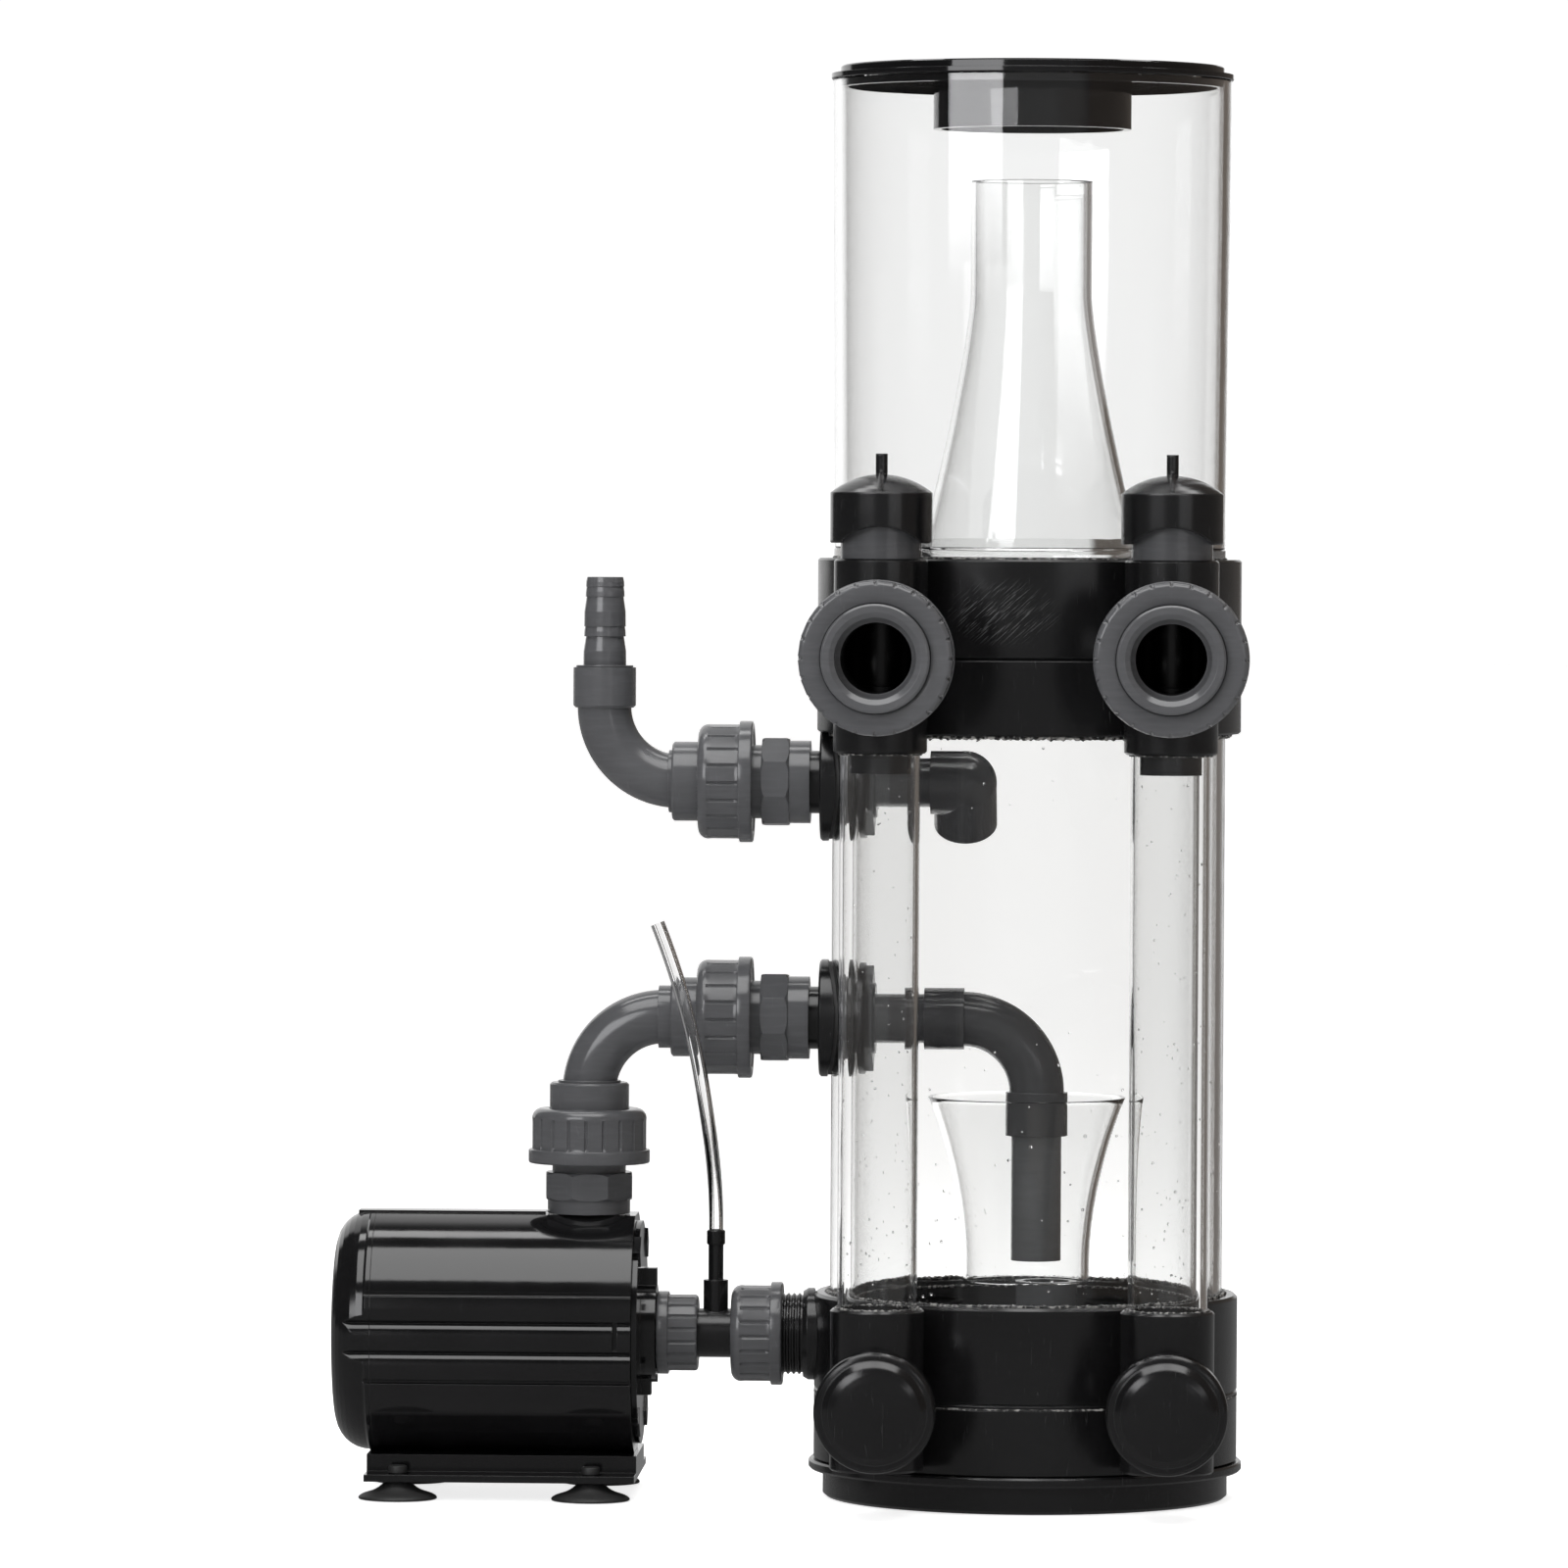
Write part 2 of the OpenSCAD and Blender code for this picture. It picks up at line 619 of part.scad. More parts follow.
module lid() {
    rim_r = cup_rim_od / 2;
    color(black) lathe([[0, cup_top + gap], [rim_r - tube_wall - 3.5, cup_top + gap],
        [rim_r - tube_wall - 3.5, cup_top - 4], [rim_r - tube_wall - 0.4, cup_top - 4],
        [rim_r - tube_wall - 0.4, cup_top + gap], [rim_r + 0.5, cup_top + gap], [rim_r + 1, cup_top + 0.6],
        [rim_r + 1, cup_top + 3], [97.75, cup_top + 3], [97.75, cup_top + 6.3], [97, cup_top + 7],
        [0, cup_top + 7]]);
}

module lid_skirt() { color(black) ring(50.5, 46.5, cup_top - 25, cup_top); }

// ---- pump ----

// outline of the pump housing across its shaft: local X is across, local Y is up
module housing_outline(inset) {
    intersection() {
        square([pump_w - 2 * inset, pump_h - 2 * inset], center = true);
        circle(62.5 - inset);
    }
}

// three flutes along each side of the housing
module flutes() {
    cusps = [22.8, 8.6, -8, -21.6];         // heights of the edges between them, from the shaft
    flute_r = 10.5;
    deep = 5;
    for (side = [-1, 1]) {
        translate([side * pump_w / 2, 0]) difference() {
            translate([-deep, cusps[3]]) square([2 * deep, cusps[0] - cusps[3]]);
            for (i = [0:2]) translate([-side * flute_r, (cusps[i] + cusps[i + 1]) / 2]) circle(flute_r);
        }
        for (y = [cusps[0], cusps[3]]) translate([side * (pump_w / 2 - 2.2), y]) circle(1.2);
    }
}

// the low ridge along the top of the housing, from distance x towards the tube
module top_ridge(x, len) { translate([-x, -7, shaft_z + pump_h / 2 - 1]) cube([len, 14, 2.3]); }

// stands the children's local +Z along the shaft towards the tube from distance x, with local Y up
module on_shaft(x) { translate([-x, 0, shaft_z]) rotate([90, 0, 90]) children(); }

chamber_x = 241;                            // rear wall of the impeller chamber
rotor_end = 300;                            // closed end of the rotor well

module motor_housing() {
    wall = 6.5;
    well_r = 18;                            // outside of the rotor well
    color(black) difference() {
        union() {
            on_shaft(housing_rear) linear_extrude(housing_rear - housing_front) difference() {
                housing_outline(0);
                flutes();
            }
            top_ridge(housing_rear, 86);
        }
        on_shaft(housing_rear + 1) linear_extrude(housing_rear - chamber_x - 5) difference() {
            housing_outline(wall);
            circle(well_r);
        }
        on_shaft(chamber_x) cylinder(r = 38, h = 60);
        on_shaft(rotor_end) cylinder(r = 14.5, h = 60);
        on_shaft(rotor_end + 60) cylinder(r = well_r + 0.05, h = 55.9);
        translate([-outlet_x, 0, shaft_z + 30]) cylinder(r = spigot_r + gap / 2, h = 40);
        translate([-outlet_x, 0, shaft_z + 20]) cylinder(r = 13, h = 40);
        for (side = [-1, 1]) translate([-207, side * pump_w / 2, 83.9]) cube([2.4, 9, 14.2], center = true);
    }
}

module rear_cap() {
    depth = 20.6;
    edge_r = 17;                            // radius of its rounded edge
    flat_r = pump_h / 2 + 0.6 - edge_r;     // where the flat end turns into that edge
    outer_r = 63;
    ridge = 9.6;
    color(black) union() {
        on_shaft(housing_rear + gap + depth) difference() {
            intersection() {
                linear_extrude(depth) difference() {
                    housing_outline(0);
                    flutes();
                }
                lathe(concat([[0, 0]], arc([flat_r, edge_r], edge_r, -90, 0, 8),
                    [[outer_r, edge_r + 1.6], [outer_r, depth], [0, depth]]));
            }
            translate([0, 0, 5]) cylinder(r = 42, h = depth);
        }
        top_ridge(housing_rear + gap + ridge, ridge);
    }
}

module volute_cover() {
    hub_r = 5;                              // hub of the front shaft bearing
    face = housing_front - gap;
    color(black) {
        difference() {
            union() {
                on_shaft(face) cylinder(r = 57, h = 2.8);
                on_shaft(face) for (a = [52, 128, 232, 308]) rotate(a)
                    translate([50, -6, 0]) cube([10, 12, 3.9]);
                on_shaft(face) cylinder(r = 24.5, h = 10.4);
                on_shaft(face) translate([-5, 20, 0]) cube([10, 13, 10.4]);
                on_shaft(face) translate([-6, -32, 0]) cube([12, 12, 7.7]);
                on_shaft(face) translate([-2.5, -25.5, 0]) cube([5, 4, 10.9]);
                on_shaft(housing_front + 4) cylinder(r = 37.9, h = 6);
                translate([-housing_front, 0, intake_z]) rotate([0, 90, 0]) cylinder(r = 17.5, h = 23.4);
            }
            translate([-housing_front - 10, 0, intake_z]) rotate([0, 90, 0]) cylinder(r = 12, h = 60);
        }
        difference() {
            union() {
                on_shaft(housing_front + 4) for (a = [0, 120, 240]) rotate(a)
                    translate([0, -1.5]) cube([14, 3, 4]);
                on_shaft(housing_front + 4) cylinder(r = hub_r, h = 8);
            }
            on_shaft(housing_front + 5) cylinder(r = 4.05, h = 5.01);
        }
    }
}

module foot_plate() {
    rear_x = 334.3;
    front_x = 196.9;
    half_w = 56;
    low = 9.2;                              // underside of the plate
    thick = 3.6;
    block_w = 36;                           // half width of the block that carries the housing
    long = rear_x - front_x;
    under_housing = shaft_z - pump_h / 2 - gap;
    color(black) difference() {
        union() {
            translate([-rear_x, -half_w, low]) cube([long, 2 * half_w, thick]);
            translate([-rear_x, -block_w, low]) cube([long, 2 * block_w, under_housing - low]);
        }
        at_feet() cylinder(r = 3.1, h = 16);
    }
}

module at_feet() {
    for (x = [317.6, 219.5]) for (side = [-1, 1]) translate([-x, side * 46, 0]) children();
}

module suction_feet() {
    color(rubber) at_feet() lathe([[0, 3.4], [6, 3], [17.5, 0], [20, 0], [20, 1.2], [18, 2.5], [13.5, 4],
        [9.5, 6], [7, 7.6], [6.5, 9.1], [3, 9.1], [3, 12.9], [4.7, 12.9], [4.7, 16.4], [4.2, 17], [0, 17]]);
}

module impeller() {
    vanes = 6;
    hub_low = 237;                          // rear face of the back plate
    color("white") on_shaft(hub_low) difference() {
        union() {
            cylinder(r = 30, h = 2.4);
            translate([0, 0, -4.9]) cylinder(r = 8, h = 20.9);
            for (i = [0:vanes - 1]) rotate(i * 360 / vanes) translate([6, -1.2, 0]) cube([23, 2.4, 16]);
        }
        translate([0, 0, -6]) cylinder(r = 3.05, h = 30);
    }
}

module rotor_magnet() {
    color([0.2, 0.2, 0.22]) on_shaft(294) difference() {
        cylinder(r = 13.6, h = 52);
        translate([0, 0, -1]) cylinder(r = 3.05, h = 60);
    }
}

module pump_shaft() { color("white") on_shaft(298.5) cylinder(r = 3, h = 298 - housing_front); }

module shaft_bushes() {
    color(rubber) {
        on_shaft(299.9) ring(14.4, 3.05, 0, 4.5);
        on_shaft(housing_front + 4.9) ring(4, 3.05, 0, 4.8);
    }
}

module stator_block() {
    color([0.45, 0.3, 0.15]) on_shaft(330) ring(48, 18.4, 0, 78);
}

// ---- intake line ----

module venturi_body() {
    boss_x = 158.5;
    color(black) difference() {
        union() {
            to_left(140.6, intake_z) cylinder(r = 12.5, h = 34.6);
            to_left(140.6, intake_z) cylinder(r = 20.2, h = 4.6);
            to_left(172.3, intake_z) cylinder(r = 16.8, h = 2.9);
            translate([-boss_x, 0, intake_z]) cylinder(r = 6.3, h = 27.25);
            translate([-boss_x, 0, 105]) cylinder(r = 3.85, h = 24);
            translate([-boss_x, 0, 127])
                lathe([[0, 0], [4.2, 0], [4.7, 0.5], [4.7, 7], [4.2, 7.5], [0, 7.5]]);
        }
        to_left(130, intake_z) cylinder(r = 10, h = 50);
        translate([-boss_x, 0, intake_z]) cylinder(r = 2.2, h = 80);
        translate([-boss_x, 0, 130]) cylinder(r = 3.75, h = 20);
    }
}

module intake_nut_pump() {
    color(grey) to_right(188.3, intake_z) union_nut(19.6, 21.2, 17.5, 12.7, 21, 6, 18, 1.1, 1.8);
}

module intake_nut_base() {
    color(grey) to_left(124, intake_z) union_nut(24.6, 26.35, 20.75, 12.7, 26.3, 6, 20, 1.2, 5);
}

// centre line of the air hose from the nozzle (t = 0) to its free end (t = 1)
function hose_at(t) =
    [-158.5 - 29 * pow(t, 2.2), -39.5 * (1 - cos(180 * min(1, t / 0.5))) / 2, 136 + 156 * t];

module air_hose() {
    hose_r = 3.65;
    pieces = 12;
    color(clear) union() {
        translate([-158.5, 0, 130.2]) cylinder(r = hose_r, h = 5.8);
        for (i = [0:pieces - 1]) {
            p = hose_at(i / pieces);
            q = hose_at((i + 1) / pieces);
            d = q - p;
            translate(p) rotate([0, acos(d[2] / norm(d)), atan2(d[1], d[0])])
                cylinder(r = hose_r, h = norm(d));
            translate(p) sphere(hose_r * 1.01);
        }
    }
}

base_plate();
base_ring();
suction_port();
suction_elbow();
reaction_tube();
bubble_funnel();
reaction_collar();
lower_tees();
blind_caps();
rising_tubes();
tube_nipples();
upper_tees();
vent_nipples();
vent_cap_left();
vent_cap_right();
outlet_union_bodies();
outlet_nut_left();
outlet_nut_right();
outlet_ends();
bulkheads();
bulkhead_locknuts();
rubber_seals();
inlet_union_body();
inlet_nut();
inlet_union_end();
inlet_bend();
hose_barb();
inner_inlet_pipe();
inner_inlet_elbow();
return_union_body();
return_nut();
return_union_end();
return_bend();
inner_return_pipe();
inner_return_bend();
drop_pipe();
pump_union_body();
pump_nut();
pump_union_end();
cup_sleeve();
cup_seal();
cup_floor();
cup_tube();
foam_riser();
lid();
lid_skirt();
motor_housing();
rear_cap();
volute_cover();
foot_plate();
suction_feet();
impeller();
rotor_magnet();
pump_shaft();
shaft_bushes();
stator_block();
venturi_body();
intake_nut_pump();
intake_nut_base();
air_hose();
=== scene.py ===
"""Looks of the protein skimmer: procedural materials on the CAD nodes; clear tubes, union nuts, hose, suction
feet, cement beads and droplets built as meshes; a pale floor, soft studio light and the camera."""

import json
import math
import random

import bpy
from mathutils import Matrix, Vector, noise


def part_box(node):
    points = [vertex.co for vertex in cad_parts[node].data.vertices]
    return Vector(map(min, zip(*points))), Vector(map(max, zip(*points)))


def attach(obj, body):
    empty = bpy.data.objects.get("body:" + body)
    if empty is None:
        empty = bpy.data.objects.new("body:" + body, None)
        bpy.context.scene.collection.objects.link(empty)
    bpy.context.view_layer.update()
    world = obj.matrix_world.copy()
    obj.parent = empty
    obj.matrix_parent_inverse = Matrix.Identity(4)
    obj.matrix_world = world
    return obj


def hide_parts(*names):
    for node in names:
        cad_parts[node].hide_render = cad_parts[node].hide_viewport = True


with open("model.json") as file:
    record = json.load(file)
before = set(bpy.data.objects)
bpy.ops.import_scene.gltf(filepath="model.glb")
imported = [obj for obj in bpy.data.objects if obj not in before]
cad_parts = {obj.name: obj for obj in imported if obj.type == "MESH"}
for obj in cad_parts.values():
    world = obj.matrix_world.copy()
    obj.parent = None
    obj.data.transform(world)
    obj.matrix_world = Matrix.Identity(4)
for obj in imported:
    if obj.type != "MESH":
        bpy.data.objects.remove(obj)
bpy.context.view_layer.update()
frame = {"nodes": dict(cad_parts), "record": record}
RECORD = frame["record"]
MM = 0.001
SEGMENTS = 144
EDGE_ROUND = 0.5 * MM


# ---------------------------------------------------------------- places, from the frame

def centre(node):
    low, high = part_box(node)
    return (low + high) / 2


BASE_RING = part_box("base_ring")
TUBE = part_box("reaction_tube")
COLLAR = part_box("reaction_collar")
TUBE_R = TUBE[1].x
WALL = 4 * MM
RISING_WALL = 2 * MM
BORE_R = TUBE_R - WALL
RING_TOP = BASE_RING[1].z
TOWER = Vector((centre("vent_cap_right").x, centre("vent_cap_right").y, 0))
SIDES = {"left": -1, "right": 1}


# ---------------------------------------------------------------- shader helpers

class Graph:
    """A short way to write a node tree: each call adds a node, sets its inputs and links what it is given."""

    def __init__(self, tree):
        self.tree = tree
        tree.nodes.clear()

    def add(self, kind, props=None, **inputs):
        node = self.tree.nodes.new("ShaderNode" + kind)
        for key, value in (props or {}).items():
            setattr(node, key, value)
        for key, value in inputs.items():
            self.put(node, key.replace("_", " "), value)
        return node

    def put(self, node, key, value):
        socket = node.inputs[int(key)] if key.isdigit() else node.inputs[key]
        if isinstance(value, bpy.types.NodeSocket):
            self.tree.links.new(value, socket)
        else:
            socket.default_value = value

    def coords(self, scale=(1, 1, 1)):
        where = self.add("TexCoord")
        mapping = self.add("Mapping")
        self.put(mapping, "Vector", where.outputs["Object"])
        self.put(mapping, "Scale", scale)
        return mapping.outputs["Vector"]

    def noise(self, vector, scale, detail=3.0, distortion=0.0):
        node = self.add("TexNoise", Scale=scale, Detail=detail, Distortion=distortion)
        self.put(node, "Vector", vector)
        return node.outputs["Fac"]

    def remap(self, value, low, high, to_low, to_high, smooth=False):
        node = self.add("MapRange", {"interpolation_type": "SMOOTHSTEP"} if smooth else None)
        for key, number in (("From Min", low), ("From Max", high), ("To Min", to_low), ("To Max", to_high)):
            self.put(node, key, number)
        self.put(node, "Value", value)
        return node.outputs["Result"]

    def math(self, operation, a, b):
        node = self.add("Math", {"operation": operation})
        self.put(node, "0", a)
        self.put(node, "1", b)
        return node.outputs["Value"]

    def mix(self, factor, a, b, blend="MIX"):
        node = self.add("Mix", {"data_type": "RGBA", "blend_type": blend})
        self.put(node, "0", factor)
        self.put(node, "6", a)
        self.put(node, "7", b)
        return node.outputs[2]

    def bump(self, height, strength, distance, normal=None):
        node = self.add("Bump", Strength=strength, Distance=distance)
        self.put(node, "Height", height)
        if normal is not None:
            self.put(node, "Normal", normal)
        return node.outputs["Normal"]

    def output(self, shader):
        node = self.add("OutputMaterial")
        self.tree.links.new(shader, node.inputs["Surface"])


def material(name):
    mat = bpy.data.materials.new(name)
    mat.use_nodes = True
    return mat, Graph(mat.node_tree)


def rgba(colour, gain=1.0):
    return (colour[0] * gain, colour[1] * gain, colour[2] * gain, 1.0)


# ---------------------------------------------------------------- materials

def rubbed_patch(g, middle, size):
    """A mask of slanting scratches inside a soft ellipse about middle, for a spot that has been rubbed."""
    local = g.add("Mapping")
    g.put(local, "Vector", g.add("TexCoord").outputs["Object"])
    g.put(local, "Location", tuple(-m / s for m, s in zip(middle, size)))
    g.put(local, "Scale", tuple(1 / s for s in size))
    far = g.add("VectorMath", {"operation": "LENGTH"})
    g.put(far, "0", local.outputs["Vector"])
    area = g.remap(far.outputs["Value"], 0.25, 1.0, 1.0, 0.0, True)
    slant = g.add("Mapping")
    g.put(slant, "Vector", g.add("TexCoord").outputs["Object"])
    g.put(slant, "Rotation", (0, math.radians(42), 0))
    along = g.add("Mapping")
    g.put(along, "Vector", slant.outputs["Vector"])
    g.put(along, "Scale", (90, 60, 2600))
    lines = g.remap(g.noise(along.outputs["Vector"], 1.0, 4, 0.6), 0.55, 0.66, 0.0, 1.0, True)
    return g.math("MULTIPLY", area, lines)


def plastic(name, colour, rough, turned=0.0, scuffs=0.35, grain=0.05, flow=0.25, rubbed=None,
            round_r=EDGE_ROUND):
    """Moulded or turned plastic: uneven pigment, fine grain, scuffs, worn edges and, where turned, lathe lines.
    rubbed is the middle and size of a scratched patch; edges shade as if rounded to round_r."""
    mat, g = material(name)
    at = g.coords()
    cloud = g.noise(at, 22, 4)
    streak = g.noise(g.coords((1, 1, 7)), 60, 3, 0.4)
    scratch = g.noise(g.coords((260, 24, 24)), 3.0, 6, 1.2)
    worn = g.remap(scratch, 0.64, 0.74, 0.0, scuffs, True)
    if rubbed:
        worn = g.math("MAXIMUM", worn, rubbed_patch(g, *rubbed))
    soft = g.add("Bevel", {"samples": 4}, Radius=round_r)
    bend = g.add("VectorMath", {"operation": "DOT_PRODUCT"})
    g.put(bend, "0", soft.outputs["Normal"])
    g.put(bend, "1", g.add("NewGeometry").outputs["Normal"])
    edge = g.remap(bend.outputs["Value"], 0.80, 0.97, 0.35, 0.0, True)
    base = g.mix(g.remap(cloud, 0.3, 0.7, 0.0, 1.0), rgba(colour, 1 - flow * 0.5), rgba(colour, 1 + flow))
    base = g.mix(g.remap(streak, 0.45, 0.75, 0.0, 0.3), base, rgba(colour, 1.5))
    base = g.mix(g.math("ADD", edge, worn), base, rgba([c + 0.05 for c in colour], 1.5))
    roughness = g.remap(cloud, 0.3, 0.7, rough * 0.8, rough * 1.25)
    roughness = g.math("ADD", roughness, g.remap(worn, 0, 1, 0, 0.25))
    fine = g.noise(at, 1400, 2)
    normal = g.bump(fine, grain, 0.00008, soft.outputs["Normal"])
    normal = g.bump(cloud, 0.12, 0.0012, normal)
    normal = g.bump(scratch, scuffs * 0.25, 0.0001, normal)
    if turned:
        rings = g.noise(g.coords((0.3, 0.3, 600)), 1.0, 2)
        normal = g.bump(rings, turned, 0.00012, normal)
    shader = g.add("BsdfPrincipled", IOR=1.5)
    g.put(shader, "Base Color", base)
    g.put(shader, "Roughness", roughness)
    g.put(shader, "Normal", normal)
    g.output(shader.outputs[0])
    return mat


def acrylic(name, tint, waviness=0.02, ior=1.49, haze=0.0):
    """Clear polished plastic that lets light through to what stands behind it, with faint rubs."""
    mat, g = material(name)
    at = g.coords()
    rub = g.remap(g.noise(g.coords((40, 40, 400)), 1.0, 5, 0.8), 0.66, 0.78, haze, haze + 0.10, True)
    glass = g.add("BsdfPrincipled", IOR=ior)
    g.put(glass, "Base Color", rgba(tint))
    g.put(glass, "Transmission Weight", 1.0)
    g.put(glass, "Roughness", rub)
    g.put(glass, "Normal", g.bump(g.noise(at, 30, 2), waviness, 0.002))
    through = g.add("BsdfTransparent")
    g.put(through, "Color", rgba(tint, 0.97))
    path = g.add("LightPath")
    skip = g.math("MAXIMUM", path.outputs["Is Shadow Ray"], path.outputs["Is Diffuse Ray"])
    both = g.add("MixShader")
    g.put(both, "0", skip)
    g.tree.links.new(glass.outputs[0], both.inputs[1])
    g.tree.links.new(through.outputs[0], both.inputs[2])
    g.output(both.outputs[0])
    return mat


def rubber(name, colour, rough=0.6):
    mat, g = material(name)
    at = g.coords()
    cloud = g.noise(at, 60, 4)
    dust = g.remap(g.noise(at, 420, 5), 0.55, 0.75, 0.0, 0.35, True)
    shader = g.add("BsdfPrincipled", IOR=1.5)
    g.put(shader, "Base Color", g.mix(dust, rgba(colour), rgba(colour, 2.4)))
    g.put(shader, "Roughness", g.remap(cloud, 0.3, 0.7, rough * 0.85, rough * 1.1))
    g.put(shader, "Normal", g.bump(g.noise(at, 900, 3), 0.15, 0.0002))
    g.output(shader.outputs[0])
    return mat


def glue(name, colour):
    """Hardened frothy cement: dark, glossy and full of pits."""
    mat, g = material(name)
    at = g.coords()
    cell = g.add("TexVoronoi", Scale=520.0)
    g.put(cell, "Vector", at)
    shader = g.add("BsdfPrincipled", IOR=1.5)
    pale = g.remap(g.noise(at, 420, 4), 0.47, 0.62, 0.0, 0.75, True)
    g.put(shader, "Base Color", g.mix(pale, rgba(colour), rgba((0.45, 0.44, 0.42))))
    g.put(shader, "Roughness", g.remap(cell.outputs["Distance"], 0, 0.5, 0.12, 0.4))
    g.put(shader, "Normal", g.bump(cell.outputs["Distance"], 0.6, 0.0006))
    g.output(shader.outputs[0])
    return mat


MATERIALS = {
    "black_pvc": plastic("black_pvc", (0.0055, 0.0055, 0.0058), 0.20, turned=0.06, scuffs=0.2),
    "grey_pvc": plastic("grey_pvc", (0.078, 0.079, 0.083), 0.18, scuffs=0.12, flow=0.12),
    "pump_plastic": plastic("pump_plastic", (0.005, 0.005, 0.0053), 0.10, scuffs=0.08, grain=0.03),
    "black_sleeve": plastic("black_sleeve", (0.0055, 0.0055, 0.0058), 0.20, turned=0.06, scuffs=0.16,
                            rubbed=((-0.012, -0.108, 0.452), (0.034, 0.03, 0.02))),
    "black_cap": plastic("black_cap", (0.0055, 0.0055, 0.0058), 0.16, scuffs=0.2, round_r=1.6 * MM),
    # a darker copy of grey PVC for the pipes inside the tube: painted shade for the dimmer light there
    "grey_painted_shade": plastic("grey_painted_shade", (0.034, 0.034, 0.036), 0.14, scuffs=0.08, flow=0.12),
    "black_polished": plastic("black_polished", (0.005, 0.005, 0.0053), 0.06, scuffs=0.06, grain=0.03,
                              flow=0.1),
    "clear_acrylic": acrylic("clear_acrylic", (0.985, 0.987, 0.985)),
    "sawn_edge": plastic("sawn_edge", (0.16, 0.16, 0.16), 0.5, grain=0.5, flow=0.2),
    "clear_hose": acrylic("clear_hose", (0.95, 0.95, 0.95), 0.08, 1.42, 0.02),
    "rubber": rubber("rubber", (0.014, 0.014, 0.014)),
    "white_plastic": plastic("white_plastic", (0.72, 0.72, 0.70), 0.4, flow=0.05),
    "ceramic": plastic("ceramic", (0.78, 0.77, 0.73), 0.12, flow=0.04, scuffs=0.05),
    "magnet": plastic("magnet", (0.05, 0.05, 0.055), 0.45),
    "potting": plastic("potting", (0.10, 0.045, 0.02), 0.35),
}
# nodes that look unlike their material slot: polished lid, rubbed sleeve, domed caps, and the pipes in the
# tube, which get a darker copy of grey PVC as painted shade
NODE_LOOKS = {"lid": "black_polished", "lid_skirt": "black_polished", "cup_sleeve": "black_sleeve"}
NODE_LOOKS.update(dict.fromkeys(("blind_caps", "vent_cap_left", "vent_cap_right"), "black_cap"))
# the pipes inside the tube get the darker grey, painted shade
NODE_LOOKS.update(dict.fromkeys(("inner_inlet_pipe", "inner_inlet_elbow", "inner_return_pipe",
                                 "inner_return_bend"), "grey_painted_shade"))
GLUE = glue("glue", (0.02, 0.02, 0.02))
WATER = acrylic("water", (0.99, 0.99, 0.99), 0.0, 1.33)


def paint_nodes():
    for part in RECORD["subparts"]:
        node = frame["nodes"][part["node"]]
        node.data.materials.clear()
        look = NODE_LOOKS.get(part["node"], part["material_slot"])
        node.data.materials.append(MATERIALS[look])


# ---------------------------------------------------------------- mesh helpers

def add_object(name, vertices, faces, mat, body, slot, smooth_deg=35):
    mesh = bpy.data.meshes.new(name)
    mesh.from_pydata([tuple(v) for v in vertices], [], faces)
    mesh.validate()
    mesh.shade_smooth()
    mesh.set_sharp_from_angle(angle=math.radians(smooth_deg))
    mesh.materials.append(mat)
    piece = bpy.data.objects.new(name, mesh)
    bpy.context.scene.collection.objects.link(piece)
    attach(piece, body)
    return piece


def revolve(profile, segments, radius_at=None, closed=True):
    """Vertices and faces of a profile [(r, z), ...] turned about Z; radius_at(r, z, angle) may vary the
    radius."""
    vertices, faces = [], []
    count = len(profile)
    for i in range(segments):
        angle = 2 * math.pi * i / segments
        for r, z in profile:
            r = radius_at(r, z, angle) if radius_at else r
            vertices.append(Vector((r * math.cos(angle), r * math.sin(angle), z)))
    for i in range(segments):
        here, there = i * count, (i + 1) % segments * count
        for j in range(count if closed else count - 1):
            k = (j + 1) % count
            faces.append((here + j, there + j, there + k, here + k))
    return vertices, faces


def merge(parts):
    vertices, faces = [], []
    for part_vertices, part_faces in parts:
        first = len(vertices)
        vertices += part_vertices
        faces += [tuple(first + i for i in face) for face in part_faces]
    return vertices, faces


def placed(shape, matrix):
    return [matrix @ v for v in shape[0]], shape[1]


def to_left(x, z):
    return Matrix.Translation((x, 0, z)) @ Matrix.Rotation(-math.pi / 2, 4, "Y")


def to_right(x, z):
    return Matrix.Translation((x, 0, z)) @ Matrix.Rotation(math.pi / 2, 4, "Y")


def to_front(x, y, z):
    return Matrix.Translation((x, y, z)) @ Matrix.Rotation(math.pi / 2, 4, "X")


def fillet(corner_r, corner_z, radius, start, end, steps=5):
    """Points of a round corner about (corner_r, corner_z), from angle start to angle end in degrees."""
    points = []
    for i in range(steps + 1):
        angle = math.radians(start + (end - start) * i / steps)
        points.append((corner_r + radius * math.cos(angle), corner_z + radius * math.sin(angle)))
    return points


# ---------------------------------------------------------------- clear tubes and shells

def add_revolved(name, profile, mat, body, slot, place=Matrix.Identity(4)):
    return add_object(name, *placed(revolve(profile, SEGMENTS), place), mat, body, slot)


def wall_profile(outer, inner, edge=0.4 * MM):
    """A closed thin-wall profile from outer and inner [(r, z)] lists, both rising, with small broken edges."""
    (ro, zo), (ri, zi) = outer[0], inner[0]
    (ro2, zo2), (ri2, zi2) = outer[-1], inner[-1]
    points = [(ri + edge, zi), (ro - edge, zo), (ro, zo + edge)] + outer[1:-1]
    points += [(ro2, zo2 - edge), (ro2 - edge, zo2), (ri2 + edge, zi2), (ri2, zi2 - edge)]
    return points + inner[1:-1][::-1] + [(ri, zi + edge)]


def levels(node):
    """Heights of a turned CAD node's edges, with the inner and outer radius at each."""
    rows = {}
    for v in frame["nodes"][node].data.vertices:
        rows.setdefault(round(v.co.z / MM, 1), []).append(math.hypot(v.co.x, v.co.y))
    return [(z * MM, min(r), max(r)) for z, r in sorted(rows.items())]


def riser_radius(z):
    """The foam riser: a straight neck that flares out below neck_z."""
    neck_r, neck_z = 30.9 * MM, 612
    return neck_r + 0.0455 * MM * max(0.0, neck_z - z / MM) ** 1.3


